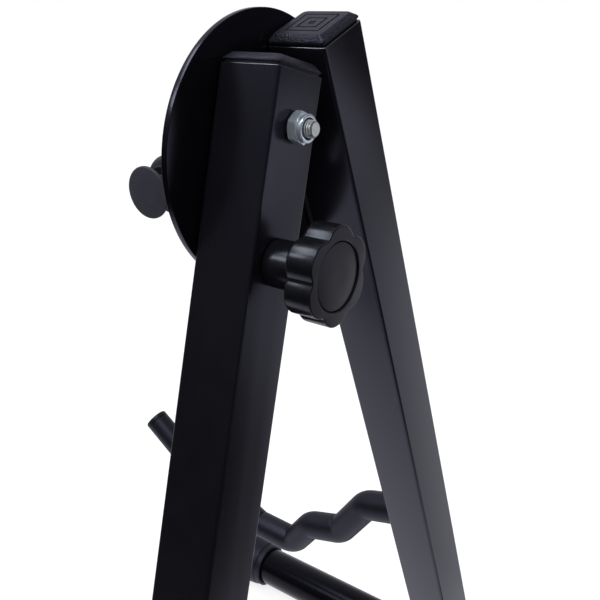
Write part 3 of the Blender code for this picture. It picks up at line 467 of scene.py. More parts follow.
def rounded(corners, radii, steps=6):
    """A line through the corners, each turned to its own radius. A radius of 0 leaves it sharp."""
    path = [corners[0]]
    for i in range(1, len(corners) - 1):
        before, here, after = corners[i - 1:i + 2]
        if not radii[i]:
            path.append(here)
            continue
        back = (before - here).normalized()
        ahead = (after - here).normalized()
        half_turn = back.angle(ahead) / 2
        reach = min(radii[i] / math.tan(half_turn), 0.45 * (before - here).length,
                    0.45 * (after - here).length)
        bend = reach * math.tan(half_turn)
        centre = here + (back + ahead).normalized() * (bend / math.sin(half_turn))
        start = here + back * reach - centre
        end = here + ahead * reach - centre
        path += [centre + arm for arm in arc_between(start, end, steps)]
    path.append(corners[-1])
    return path


# %% Turning a line about Z


def drawn(points, closed=False):
    """A new shape with a line of edges through the points, and the line to spin."""
    shape = bmesh.new()
    verts = [shape.verts.new(point) for point in points]
    ahead = verts[1:] + verts[:1] if closed else verts[1:]
    return shape, verts + [shape.edges.new(pair) for pair in zip(verts, ahead)]


def turned(corners, steps=96, closed=False, arc_steps=6):
    """Turn (radius, height, rounding) corners about Z. A closed line makes a ring."""
    spots = [Vector((radius, 0, height)) for radius, height, _ in corners]
    radii = [rounding for _, _, rounding in corners]
    if closed:
        start = (spots[-1] + spots[0]) / 2
        line = rounded([start] + spots + [start], [0] + radii + [0], arc_steps)[:-1]
    else:
        line = rounded(spots, radii, arc_steps)
    shape, outline = drawn(line, closed)
    bmesh.ops.spin(shape, geom=outline, cent=(0, 0, 0), axis=(0, 0, 1), angle=2 * math.pi,
                   steps=steps, use_merge=True)
    return closed_up(shape)


def hollow(outer, inner, half, edges, steps=96, arc_steps=6):
    """A ring about Z. edges are roundings: outer top and bottom, then inner bottom and top."""
    corners = ((outer, half), (outer, -half), (inner, -half), (inner, half))
    outline = [(*corner, edge * MM) for corner, edge in zip(corners, edges)]
    return turned(outline, steps, closed=True, arc_steps=arc_steps)


def closed_up(shape):
    """Join coincident points and turn the faces outwards."""
    bmesh.ops.remove_doubles(shape, verts=shape.verts[:], dist=0.002 * MM)
    bmesh.ops.recalc_face_normals(shape, faces=shape.faces[:])
    return shape


def draw_out(shape, move):
    """Give a flat shape a thickness: its faces are drawn out by a vector."""
    made = bmesh.ops.extrude_face_region(shape, geom=shape.faces[:])["geom"]
    bmesh.ops.translate(shape, vec=move,
                        verts=[item for item in made if isinstance(item, bmesh.types.BMVert)])


# %% Sweeping a section along a line


def directions_along(path):
    """The direction of travel at each point, and on a bend the mean of both sides."""
    steps = [(b - a).normalized() for a, b in zip(path, path[1:])]
    means = [(a + b).normalized() for a, b in zip(steps, steps[1:])]
    return [steps[0]] + means + [steps[-1]]


def lengths_along(path):
    lengths = [0.0]
    for one, two in zip(path, path[1:]):
        lengths.append(lengths[-1] + (two - one).length)
    return lengths


def swept(path, radii, beside, sides, looped=False):
    """Sweep a circle along a line. beside gives, at a point, the way its first corner looks."""
    shape = bmesh.new()
    rings = []
    for point, radius, ahead in zip(path, radii, directions_along(path)):
        out = beside(point)
        across = (out - ahead * out.dot(ahead)).normalized()
        turn = Matrix((across, ahead.cross(across), ahead)).transposed().to_4x4()
        made = bmesh.ops.create_circle(shape, cap_ends=False, radius=radius, segments=sides,
                                       matrix=Matrix.Translation(point) @ turn)
        rings.append(list({edge for vert in made["verts"] for edge in vert.link_edges}))
    for one, two in zip(rings, rings[1:]):
        bmesh.ops.bridge_loops(shape, edges=one + two)
    if looped:
        bmesh.ops.bridge_loops(shape, edges=rings[-1] + rings[0])
    else:
        bmesh.ops.edgeloop_fill(shape, edges=rings[0] + rings[-1])
    return closed_up(shape)


# %% Square blocks and bevels


def rise(edge):
    return abs(edge.verts[0].co.z - edge.verts[1].co.z)


def block(half, low, high):
    """A square block along Z."""
    shape = bmesh.new()
    stretch = Matrix.Diagonal((2 * half, 2 * half, high - low, 1))
    middle = Matrix.Translation((0, 0, (low + high) / 2))
    bmesh.ops.create_cube(shape, size=1, matrix=middle @ stretch)
    return shape


def bevel_edges(shape, edges, width, steps):
    bmesh.ops.bevel(shape, geom=edges, offset=width, segments=steps, profile=0.5,
                    affect="EDGES", material=-1)


# %% Cutting and drilling


def mesh_of(shape, name="work"):
    mesh = bpy.data.meshes.new(name)
    shape.to_mesh(mesh)
    shape.free()
    return mesh


def combined(shape, tools, how="DIFFERENCE"):
    """The shape after each tool is cut from it, joined to it or kept in common with it."""
    work = bpy.data.objects.new("work", mesh_of(shape))
    cutters = [bpy.data.objects.new("cutter", mesh_of(tool)) for tool in tools]
    for thing in [work] + cutters:
        scene.collection.objects.link(thing)
    for cutter in cutters:
        step = work.modifiers.new("cut", "BOOLEAN")
        step.operation = how
        step.solver = "EXACT"
        step.object = cutter
    graph = bpy.context.evaluated_depsgraph_get()
    result = bmesh.new()
    result.from_object(work, graph)
    for thing in [work] + cutters:
        bpy.data.objects.remove(thing, do_unlink=True)
    return closed_up(result)


def trimmed(shape, spot, beyond):
    """Cut away what is beyond a spot in a direction, and close the cut."""
    cut = bmesh.ops.bisect_plane(shape, geom=shape.verts[:] + shape.edges[:] + shape.faces[:],
                                 plane_co=spot, plane_no=beyond, clear_outer=True)
    rim = [item for item in cut["geom_cut"] if isinstance(item, bmesh.types.BMEdge)]
    bmesh.ops.holes_fill(shape, edges=rim, sides=0)
    return closed_up(shape)


def rod_tool(radius, low, high, steps=48):
    """A plain round tool along Z, for drilling."""
    shape = bmesh.new()
    bmesh.ops.create_cone(shape, cap_ends=True, segments=steps, radius1=radius, radius2=radius,
                          depth=high - low, matrix=Matrix.Translation((0, 0, (low + high) / 2)))
    return shape


# %% Placing and finishing


def moved(shape, place):
    bmesh.ops.transform(shape, matrix=place, verts=shape.verts[:])
    return shape


def facing(direction, spot):
    """The place of a shape whose Z is to point along X, Y, -X or -Y."""
    turns = {"X": ("Y", 90), "-X": ("Y", -90), "Y": ("X", -90), "-Y": ("X", 90)}
    axis, degrees = turns[direction]
    return Matrix.Translation(spot) @ Matrix.Rotation(math.radians(degrees), 4, axis)


def on_bolt(axis, x):
    """The place of a shape that starts at x and points backwards along a bolt."""
    return facing("X", (x, axis.y, axis.z))


def finished(name, shape, finish, node, smooth=32, soften=0.0, replaces=True):
    """Make a shape a piece that rides with a CAD node and, unless told not to, replaces it."""
    bmesh.ops.recalc_face_normals(shape, faces=shape.faces[:])
    mesh = mesh_of(shape, name)
    mesh.materials.append(finish)
    mesh.shade_smooth()
    mesh.set_sharp_from_angle(angle=math.radians(smooth))
    piece = bpy.data.objects.new(name, mesh)
    scene.collection.objects.link(piece)
    if soften:
        edge = piece.modifiers.new("soften", "BEVEL")
        edge.width = soften
        edge.segments = 2
        edge.limit_method = "ANGLE"
        edge.angle_limit = math.radians(smooth)
        edge.harden_normals = True
    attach(piece, BODY_OF[node])
    if replaces:
        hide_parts(node)
    print("  %-28s %6d faces, %s %s" % (name, len(mesh.polygons), "for" if replaces else "by", node))
    return piece


# %% [markdown]
# ## Legs
#
# A leg is 25 mm square steel tube with a 1.2 mm wall. Rolled tube has round corners, and a thin
# line of light runs down each of them in the photograph, so the corners get eight bevel steps.
# The tube starts as a cube whose long edges are bevelled and whose ends are removed. Solidify
# turns the open skin into a wall. The lower end is cut round to sit on the foot tube. Paint runs
# thin over the cut edges, so the Bevel modifier that rounds them gives them a material of their
# own.
# %% Leg tubes
LEG_WALL = 1.2 * MM
LEG_CORNER = 1.4 * MM
RIM = 0.35 * MM
foot_radius = size_of("folding_foot_tube").z / 2
bolt_bore = 3.3 * MM


def square_tube(bottom, top):
    shape = block(leg_half, bottom, top)
    bevel_edges(shape, [e for e in shape.edges if rise(e) > leg_side], LEG_CORNER, 8)
    ends = [f for f in shape.faces if abs(f.normal.z) > 0.9]
    bmesh.ops.delete(shape, geom=ends, context="FACES_ONLY")
    skin = list(shape.faces)
    bmesh.ops.recalc_face_normals(shape, faces=skin)
    bmesh.ops.solidify(shape, geom=skin, thickness=LEG_WALL)
    return closed_up(shape)


def make_leg_tube(leg):
    upright = leg_frame(leg)
    axis = middle_of(leg + "_foot_tube")
    bottom = (upright.inverted() @ axis).z
    tube = moved(square_tube(bottom, tube_top(leg)), upright)
    tools = [moved(rod_tool(foot_radius + FIT, -leg_side, leg_side, 96), facing("X", axis))]
    if leg == "folding":
        for spot in (pivot, clamp):
            tools.append(moved(rod_tool(bolt_bore, -leg_side, leg_side), on_bolt(spot, leg_x)))
    skin = finished(leg + "_tube_skin", combined(tube, tools), POWDER_COAT, leg + "_leg_tube",
                    soften=RIM)
    skin.data.materials.append(WORN_EDGE)
    skin.modifiers["soften"].material = 1


for leg in SIDE:
    make_leg_tube(leg)

# %% [markdown]
# ## Caps
#
# Each tube top is closed by a moulded plug: a square head with a flat 45 degree chamfer all
# round, small radii where the flats meet, and three concentric square grooves on top. The cube is
# bevelled in the order a toolmaker would cut the cavity: the chamfer, then the radii along it,
# then the grooves by insetting the top face again and again, and last the four corners. The head
# stands on a neck that is set back from the tube's edge, which leaves the thin dark gap between
# the cap and the steel.
# %% Cap sizes
CAP_HEIGHT = 2.7 * MM
NECK_HEIGHT = 0.9 * MM
NECK_SET_BACK = 0.6 * MM
CAP_CHAMFER = 2.0 * MM
CAP_RADIUS = 0.25 * MM
CAP_CORNER = 1.4 * MM
CAP_HALF = leg_half - FIT
GROOVE_DEPTH = 0.5 * MM
GROOVE_MARGINS = (2.55, 2.4, 2.4)
GROOVE_WIDTH = 0.7 * MM
PLUG_DEPTH = 11 * MM
PLUG_OVERLAP = 0.5 * MM


def level_of(face):
    return face.calc_center_median().z


def on_corner(edge):
    """Whether an edge runs up one of the square head's four corners."""
    spread = max(abs(abs(v.co.x) - abs(v.co.y)) for v in edge.verts)
    return spread < 0.01 * MM and rise(edge) > 0.005 * MM


# %% Cap shape


def cut_grooves(shape):
    """Sink three square rings into the top face."""
    top = max(shape.faces, key=level_of)
    for margin in GROOVE_MARGINS:
        bmesh.ops.inset_region(shape, faces=[top], thickness=margin * MM, use_even_offset=True)
        ring = bmesh.ops.inset_region(shape, faces=[top], thickness=GROOVE_WIDTH,
                                      use_even_offset=True)["faces"]
        bmesh.ops.inset_region(shape, faces=ring, thickness=GROOVE_WIDTH / 5,
                               depth=-GROOVE_DEPTH, use_even_offset=True)


def square_cap():
    shape = block(CAP_HALF, FIT + NECK_HEIGHT, FIT + NECK_HEIGHT + CAP_HEIGHT)
    top = max(shape.faces, key=level_of)
    bevel_edges(shape, list(top.edges), CAP_CHAMFER, 1)
    foot_level = min(vert.co.z for vert in shape.verts)
    rims = [e for e in shape.edges if rise(e) < 0.01 * MM
            and e.verts[0].co.z > foot_level + 0.01 * MM]
    bevel_edges(shape, rims, CAP_RADIUS, 3)
    corners = [e for e in shape.edges if on_corner(e)]
    cut_grooves(shape)
    bevel_edges(shape, corners, CAP_CORNER, 5)
    return closed_up(shape)


def rounded_block(half, low, high):
    """A square block with its four upright edges rounded."""
    shape = block(half, low, high)
    bevel_edges(shape, [e for e in shape.edges if rise(e) > (high - low) / 2], 1.0 * MM, 3)
    return shape


# %% Caps in place
for leg in SIDE:
    neck = rounded_block(CAP_HALF - NECK_SET_BACK, FIT, PLUG_OVERLAP + NECK_HEIGHT)
    plug = rounded_block(leg_half - LEG_WALL - FIT, PLUG_OVERLAP - PLUG_DEPTH, PLUG_OVERLAP)
    cap = combined(square_cap(), [neck, plug], "UNION")
    place = leg_frame(leg) @ Matrix.Translation((0, 0, tube_top(leg)))
    finished(leg + "_cap", moved(cap, place), CAP_PLASTIC, leg + "_leg_cap", smooth=38)

# %% [markdown]
# ## Feet
#
# Each leg stands on a cross tube with a rubber boot on both ends. A boot is turned from its
# outline: a beaded mouth, a flare and a round nose. The boot's underside is then cut flat where it
# stands on the floor, which bisect_plane does exactly. A weld bead runs round the joint of leg and
# foot, and follows the saddle: level along the front and back of the leg, and over the round of
# the foot tube at its sides.
# %% Foot tubes
BOOT_LENGTH = 44 * MM
FOOT_WALL = 1.5 * MM


def make_foot_tube(leg):
    node = leg + "_foot_tube"
    axis = middle_of(node)
    half = size_of(node).x / 2
    ring = hollow(foot_radius, foot_radius - FOOT_WALL, half, (0.4,) * 4, arc_steps=3)
    finished(leg + "_foot_skin", moved(ring, facing("X", axis)), TUBE_LACQUER, node)


for leg in SIDE:
    make_foot_tube(leg)

# %% Boots
boot_radius = size_of("folding_foot_front_boot").y / 2
boot_mouth = foot_radius + 2.2 * MM
BOOT_FLARE = 19.8 * MM


def boot_shape():
    """Open at zero and closed at its length, wider towards its closed end."""
    bore = foot_radius + FIT
    floor = BOOT_LENGTH - 4 * MM
    return turned([(0, BOOT_LENGTH, 0), (boot_radius, BOOT_LENGTH, 4 * MM),
                   (boot_radius, BOOT_FLARE, 6 * MM), (boot_mouth + 0.7 * MM, 5 * MM, 1 * MM),
                   (boot_mouth, 4 * MM, 0.3 * MM), (boot_mouth, 0, 0.6 * MM), (bore, 0, 0.3 * MM),
                   (bore, floor, 1 * MM), (0, floor, 0)], steps=112, arc_steps=7)


def make_boot(leg, end):
    node = leg + "_foot_" + end + "_boot"
    low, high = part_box(node)
    direction = "-X" if end == "front" else "X"
    mouth = high.x if end == "front" else low.x
    axis = middle_of(leg + "_foot_tube")
    shape = moved(boot_shape(), facing(direction, (mouth, axis.y, axis.z)))
    shape = trimmed(shape, (0, 0, 0), (0, 0, -1))
    finished(leg + "_" + end + "_boot", shape, BOOT_RUBBER, node)


for leg in SIDE:
    for end in ("front", "rear"):
        make_boot(leg, end)

# %% [markdown]
# ## Arms
#
# The guitar's body rests on two arms. Each is a steel rod bent in steps, pushed into a thick
# rubber sleeve, and plugged at its tip. Rubber crowds on the inside of a tight bend and folds
# into a crease, while the outside stays round. So each bend is swept with many rings, and the
# points on its inside are drawn in towards a crease at the middle of the bend.
# %% Arm route
ARM_STEPS = ((0, 0), (22.1, -6.3), (41.2, -32.7), (63.8, -39.6), (78.7, -59.1), (107.5, -57.9),
             (175.3, -25.4), (196.8, -9.1))
ARM_BEND = 11.5 * MM
SLEEVE_ROOT = 8.75 * MM
SLEEVE_TIP = 7.8 * MM
ARM_ROOT_UP = 147.2 * MM


def arm_root(leg):
    """The middle of the arm's joint on the leg's front face."""
    axis = middle_of(leg + "_foot_tube")
    x = middle_of(leg + "_leg_tube").x - leg_half - FIT
    y = axis.y - SIDE[leg] * ARM_ROOT_UP * math.tan(lean)
    return Vector((x, y, axis.z + ARM_ROOT_UP))


def arm_path(leg):
    root = arm_root(leg)
    corners = [root + Vector((-ahead, 0, up)) * MM for ahead, up in ARM_STEPS]
    corners[0] = corners[0] + (corners[0] - corners[1]).normalized() * SLEEVE_ROOT
    return rounded(corners, [ARM_BEND] * len(corners), 14)


print("arm route %.0f mm long" % (lengths_along(arm_path("fixed"))[-1] / MM))

# %% Sleeves
CREASE_DEPTH = 0.9 * MM
REACH = 7
LEAST_TURN = 0.25
FULL_TURN = 0.7


def crease_bends(shape, path, radii):
    """Draw the inside of each bend in, most at its middle and in a sharp bend. Turns are in
    radians, over as many rings as REACH on both sides."""
    ahead = directions_along(path)
    for i in range(REACH + 1, len(path) - REACH - 1):
        turn = ahead[i - REACH].angle(ahead[i + REACH])
        if turn < LEAST_TURN or ahead[i - 1].angle(ahead[i + 1]) < 0.01:
            continue
        inwards = (ahead[i + 1] - ahead[i - 1]).normalized()
        before = sum(ahead[j].angle(ahead[j + 1]) for j in range(i - REACH, i))
        after = sum(ahead[j].angle(ahead[j + 1]) for j in range(i, i + REACH))
        middle = 1 - abs(before - after) / (before + after)
        pinch = CREASE_DEPTH * max(0.0, middle) ** 6 * min(1.0, turn / FULL_TURN)
        for vert in shape.verts:
            arm = vert.co - path[i]
            if abs(arm.dot(ahead[i])) > 0.01 * MM or arm.length > radii[i] * 1.02:
                continue
            inside = max(0.0, arm.normalized().dot(inwards))
            vert.co -= arm.normalized() * pinch * inside ** 2


def make_sleeve(leg):
    path = arm_path(leg)
    lengths = lengths_along(path)
    taper = (SLEEVE_TIP - SLEEVE_ROOT) / lengths[-1]
    radii = [SLEEVE_ROOT + taper * length for length in lengths]
    shape = swept(path, radii, lambda point: Vector((0, 1, 0)), 40)
    crease_bends(shape, path, radii)
    shape = trimmed(shape, arm_root(leg), (1, 0, 0))
    finished(leg + "_arm_rubber", shape, BLACK_RUBBER, leg + "_arm_sleeve", smooth=50)


for leg in SIDE:
    make_sleeve(leg)

# %% Arm tips
TIP_THICKNESS = 3 * MM
SPIGOT_RADIUS = 4.7 * MM
SPIGOT_LENGTH = 7 * MM


def make_arm_tip(leg):
    path = arm_path(leg)
    ahead = (path[-1] - path[-2]).normalized()
    top = FIT + TIP_THICKNESS
    tip = turned([(0, top, 0), (SLEEVE_TIP, top, 1.3 * MM), (SLEEVE_TIP, FIT, 0.3 * MM),
                  (SPIGOT_RADIUS, FIT, 0), (SPIGOT_RADIUS, -SPIGOT_LENGTH, 0.5 * MM),
                  (0, -SPIGOT_LENGTH, 0)], steps=64)
    place = Matrix.Translation(path[-1]) @ ahead.to_track_quat("Z", "Y").to_matrix().to_4x4()
    finished(leg + "_arm_plug", moved(tip, place), BLACK_RUBBER, leg + "_arm_tip")


for leg in SIDE:
    make_arm_tip(leg)

# %% [markdown]
# ## Hinge disc
#
# The disc is laser-cut plate, turned here with a small radius on both rims, because the edge of
# painted plate shows as a thin pale line. The arc slot is cut with a tool of its own: a swept
# segment about the pivot whose ends are round, as the laser leaves them.
# %% Disc sizes
disc_low, disc_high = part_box("hinge_disc")
disc_centre = (disc_low + disc_high) / 2
disc_radius = (disc_high.y - disc_low.y) / 2
disc_half = (disc_high.x - disc_low.x) / 2
slot_radius = (clamp - pivot).length
SLOT_SLACK = FIT / slot_radius
FOLD_TRAVEL = math.radians(33)
print("disc %.0f mm across, slot radius %.1f mm" % (2 * disc_radius / MM, slot_radius / MM))


def slot_tool():
    """A round-ended bar along the slot's arc, drawn out square to the disc."""
    span = FOLD_TRAVEL + 2 * SLOT_SLACK
    shape, line = drawn([(0, 0, -slot_radius - offset) for offset in (-bolt_bore, bolt_bore)])
    bmesh.ops.spin(shape, geom=line, cent=(0, 0, 0), axis=(1, 0, 0), angle=span, steps=40)
    draw_out(shape, (6 * disc_half, 0, 0))
    moved(shape, Matrix.Rotation(-lean - SLOT_SLACK, 4, "X")
          @ Matrix.Translation((-3 * disc_half, 0, 0)))
    return closed_up(shape)


# %% Disc
PLATE_EDGE = 0.25 * MM


def make_disc():
    plate = turned([(0, disc_half, 0), (disc_radius, disc_half, PLATE_EDGE),
                    (disc_radius, -disc_half, PLATE_EDGE), (0, -disc_half, 0)], steps=180,
                   arc_steps=4)
    plate = moved(plate, facing("X", disc_centre))
    at_pivot = Vector((disc_centre.x, pivot.y, pivot.z))
    slot_ends = [at_pivot + Vector((0, math.sin(angle), -math.cos(angle))) * slot_radius
                 for angle in (-lean - SLOT_SLACK, FOLD_TRAVEL - lean + SLOT_SLACK)]
    tools = [moved(rod_tool(bolt_bore, -leg_half, leg_half), facing("X", spot))
             for spot in [at_pivot] + slot_ends]
    tools.insert(1, moved(slot_tool(), Matrix.Translation(at_pivot)))
    finished("disc_plate", combined(plate, tools), GLOSS_COAT, "hinge_disc", smooth=40,
             soften=0.12 * MM)


make_disc()

# %% [markdown]
# ## Weld beads
#
# The steel is MIG welded and then painted, so a bead is a small rope of overlapping ripples under
# the paint. A swept circle whose radius swells every 1.1 mm gives the ripples. One bead follows
# each foot joint, one rings the rest's post, and two run down the fixed leg's edges on the disc.
# %% Beads
BEAD = 1.5 * MM
RIPPLE_PITCH = 1.1 * MM
RIPPLE = 0.16 * MM


def evenly(path, step):
    """The same line with points at even steps."""
    lengths = lengths_along(path)
    count = max(2, round(lengths[-1] / step))
    points = []
    place = 0
    for i in range(count + 1):
        wanted = lengths[-1] * i / count
        while place < len(path) - 2 and lengths[place + 1] < wanted:
            place += 1
        span = lengths[place + 1] - lengths[place]
        points.append(path[place].lerp(path[place + 1], (wanted - lengths[place]) / span))
    return points


def bead(path, outwards, looped=False):
    """A rippled rope along a line. outwards gives the surface's direction at a point."""
    points = evenly(path, RIPPLE_PITCH / 6)
    if looped:
        points = points[:-1]
    radii = []
    for length in lengths_along(points):
        wave = math.cos(2 * math.pi * length / RIPPLE_PITCH)
        radii.append(BEAD + RIPPLE * wave)
    if not looped:
        for i, share in enumerate((0.35, 0.62, 0.80, 0.92)):
            radii[i] *= share
            radii[-1 - i] *= share
    return swept(points, radii, outwards, 12, looped)


def add_weld(name, rope, beside):
    finished(name, rope, WELD, beside, smooth=80, replaces=False)


# %% Beads round the feet


def saddle_path(leg):
    """Round the leg, on the foot tube: a rounded square dropped onto the tube."""
    half = leg_half + 0.2 * MM
    upright = leg_frame(leg)
    axis = middle_of(leg + "_foot_tube")
    corners = [Vector((x * half, y * half, 0)) for x, y in ((0, 1), (1, 1), (1, -1), (-1, -1),
                                                           (-1, 1), (0, 1))]
    outline = evenly(rounded(corners, [0, 2 * MM, 2 * MM, 2 * MM, 2 * MM, 0]), 0.5 * MM)
    down = upright.to_3x3() @ Vector((0, 0, -1))
    path = []
    for corner in outline:
        start = upright @ corner - axis
        start.x = 0
        along = start.dot(down)
        beside = (start - down * along).length
        drop = math.sqrt(max(foot_radius ** 2 - beside ** 2, (4 * MM) ** 2))
        path.append(upright @ corner + down * (-along - drop))
    return path


for leg in SIDE:
    axis = middle_of(leg + "_foot_tube")
    outwards = lambda point: Vector((0, point.y - axis.y, point.z - axis.z)).normalized()
    add_weld(leg + "_foot_weld", bead(saddle_path(leg), outwards, looped=True), leg + "_foot_tube")

# %% [markdown]
# ## Padded rest
#
# The guitar's back leans on a short tube held ahead of the disc on a post. A thick grey rubber
# sleeve covers the tube, with a black ring at each end and a flanged grey plug pushed into it.
# Everything here is round, so every piece is turned from its outline.
# %% Rest sizes
rest = middle_of("rest_bar")
bar_radius = size_of("rest_bar").z / 2
bar_half = size_of("rest_bar").y / 2
sleeve_half = size_of("rest_sleeve").y / 2
sleeve_radius = size_of("rest_sleeve").z / 2
ring_radius = size_of("rest_left_ring").z / 2
button_radius = size_of("rest_left_button").z / 2
print("rest sleeve %.0f mm long, %.1f mm thick" % (2 * sleeve_half / MM, 2 * sleeve_radius / MM))


# %% Bar, post and sleeve
BAR_WALL = 1.75 * MM
bar_bore = bar_radius - BAR_WALL
pad_bore = bar_radius + FIT
post_radius = size_of("rest_post").z / 2
post_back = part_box("rest_post")[1].x - rest.x


def make_rest():
    bar = hollow(bar_radius, bar_bore, bar_half, (0.3, 0.3, 0.2, 0.2), steps=72, arc_steps=3)
    finished("rest_tube", moved(bar, facing("Y", rest)), POWDER_COAT, "rest_bar")

    post = turned([(0, post_back, 0), (post_radius, post_back, 0.2 * MM), (post_radius, 0, 0),
                   (0, 0, 0)], steps=64, arc_steps=3)
    saddle = moved(rod_tool(pad_bore, -leg_half, leg_half, 72), facing("Y", rest))
    stem = combined(moved(post, facing("X", rest)), [saddle])
    finished("rest_stem", stem, POWDER_COAT, "rest_post")

    sleeve = hollow(sleeve_radius, pad_bore, sleeve_half, (2.5, 2.5, 0.3, 0.3), arc_steps=8)
    hole = moved(rod_tool(post_radius + FIT, 0, 2 * sleeve_radius, 64), facing("X", rest))
    pad = combined(moved(sleeve, facing("Y", rest)), [hole])
    finished("rest_pad", pad, GREY_RUBBER, "rest_sleeve", smooth=40)


make_rest()

# %% Rings and buttons
BUTTON_STEM = 5 * MM
BUTTON_SPIGOT = 9 * MM


def make_rest_end(end, direction):
    node = "rest_" + end + "_ring"
    ring = hollow(ring_radius, pad_bore, size_of(node).y / 2, (0.6, 0.6, 0.2, 0.2), steps=80,
                  arc_steps=5)
    middle = Vector((rest.x, middle_of(node).y, rest.z))
    finished("rest_" + end + "_washer", moved(ring, facing("Y", middle)), BLACK_RUBBER, node)

    inner = bar_bore - FIT
    button = turned([(0, 8.2 * MM, 0), (button_radius * 0.5, 8.1 * MM, 14 * MM),
                     (button_radius, 7.75 * MM, 0.55 * MM), (button_radius, 6.5 * MM, 0.45 * MM),
                     (BUTTON_STEM, 6.5 * MM, 0.5 * MM), (BUTTON_STEM, 0, 0.1 * MM), (inner, 0, 0),
                     (inner, -BUTTON_SPIGOT, 0.6 * MM), (0, -BUTTON_SPIGOT, 0)], steps=80)
    outside = rest + Vector((0, (bar_half + FIT) * (1 if direction == "Y" else -1), 0))
    finished("rest_" + end + "_stopper", moved(button, facing(direction, outside)), GREY_RUBBER,
             "rest_" + end + "_button", smooth=45)


make_rest_end("right", "-Y")
make_rest_end("left", "Y")

# %% Beads at the disc


def ring_path(centre, radius):
    return [centre + Vector((0, math.cos(a), math.sin(a))) * radius
            for a in [math.radians(5 * i) for i in range(73)]]


def make_disc_welds():
    centre = Vector((disc_low.x - 0.2 * MM, rest.y, rest.z))
    path = ring_path(centre, post_radius + FIT)
    away = lambda point: (point - centre).normalized()
    add_weld("rest_stem_weld", bead(path, away, looped=True), "rest_post")

    upright = leg_frame("fixed")
    local_disc = upright.inverted() @ disc_centre
    for name, side in (("near", -1), ("far", 1)):
        y = side * (leg_half - 0.2 * MM)
        chord = math.sqrt((disc_radius - 2.5 * MM) ** 2 - (y - local_disc.y) ** 2)
        top = min(local_disc.z + chord, tube_top("fixed") - 4 * MM)
        line = [upright @ Vector((0, y, z)) for z in (local_disc.z - chord, top)]
        for point in line:
            point.x = disc_high.x + 0.1 * MM
        add_weld("disc_weld_" + name, bead(line, lambda point: Vector((1, 0, 0))),
                 "fixed_leg_tube")


make_disc_welds()

# %% [markdown]
# ## Pivot bolt and lock nut
#
# The hinge turns on an M6 bolt. Its hexagon head is in front of the disc, and the lock nut is on
# the back of the folding leg, where two turns of thread stand out of it. A forged hexagon has its
# corners turned off at 30 degrees, at one end of the bolt's head and at both ends of the nut.
# That leaves the bright arcs on each flat, so the prism is kept only where it is inside a turned
# blank. The thread is a ridge spun upwards a pitch a turn, joined to a core.
# %% Hexagons
HEX_FLATS = 10 * MM


def hexagon(height, skim=0.47 * HEX_FLATS, both_ends=False):
    corner = HEX_FLATS / math.sqrt(3)
    slope = math.tan(math.radians(30))
    shape = bmesh.new()
    place = Matrix.Translation((0, 0, height / 2)) @ Matrix.Rotation(math.radians(30), 4, "Z")
    bmesh.ops.create_cone(shape, cap_ends=True, segments=6, radius1=corner, radius2=corner,
                          depth=height, matrix=place)
    wide = corner + 0.5 * MM
    fall = (wide - skim) * slope
    outline = [(0, height, 0), (skim, height, 0), (wide, height - fall, 0)]
    if both_ends:
        outline += [(wide, fall, 0), (skim, 0, 0), (0, 0, 0)]
    else:
        outline += [(wide, -1 * MM, 0), (0, -1 * MM, 0)]
    return combined(shape, [turned(outline, steps=96)], "INTERSECT")


# %% Thread
BOLT_RADIUS = 3 * MM
PITCH = 1 * MM
THREAD_DEPTH = 0.65 * MM
TURN_STEPS = 40
THREAD_LENGTH = 9 * MM
END_CHAMFER = 0.7 * MM


def thread_ridge(low, high):
    """The helical ridge of an M6 thread, as a closed spring."""
    root = BOLT_RADIUS - THREAD_DEPTH
    flank = root + THREAD_DEPTH / 2
    section = [(root - 0.2 * MM, -0.46), (root, -0.46), (flank, -0.28), (BOLT_RADIUS, -0.10),
               (BOLT_RADIUS, 0.10), (flank, 0.28), (root, 0.46), (root - 0.2 * MM, 0.46)]
    shape, ring = drawn([(radius, 0, low + share * PITCH) for radius, share in section], True)
    turns = math.ceil((high - low) / PITCH)
    bmesh.ops.spin(shape, geom=ring, cent=(0, 0, 0), axis=(0, 0, 1),
                   dvec=(0, 0, PITCH / TURN_STEPS), angle=2 * math.pi * turns,
                   steps=TURN_STEPS * turns)
    rims = [edge for edge in shape.edges if edge.is_boundary]
    bmesh.ops.edgeloop_fill(shape, edges=rims)
    return closed_up(shape)


def bolt_end(low, high):
    """A threaded bolt end from low to high, with its end chamfered."""
    root = BOLT_RADIUS - THREAD_DEPTH + 0.05 * MM
    core = turned([(0, high, 0), (root, high, 0), (root, low, 0), (0, low, 0)], steps=TURN_STEPS)
    whole = combined(core, [thread_ridge(low - PITCH, high + PITCH)], "UNION")
    envelope = turned([(0, high, 0), (BOLT_RADIUS - END_CHAMFER, high, 0),
                       (BOLT_RADIUS + 0.1 * MM, high - END_CHAMFER - 0.1 * MM, 0),
                       (BOLT_RADIUS + 0.1 * MM, low, 0), (0, low, 0)], steps=TURN_STEPS)
    return combined(whole, [envelope], "INTERSECT")


# %% Washers


def make_washer(name, finish, node, axis, inner, edges, arc_steps):
    size = size_of(node)
    ring = hollow(size.z / 2, inner, size.x / 2, edges, arc_steps=arc_steps)
    finished(name, moved(ring, on_bolt(axis, middle_of(node).x)), finish, node)


# %% Bolt
BOLT_HEAD = 4 * MM


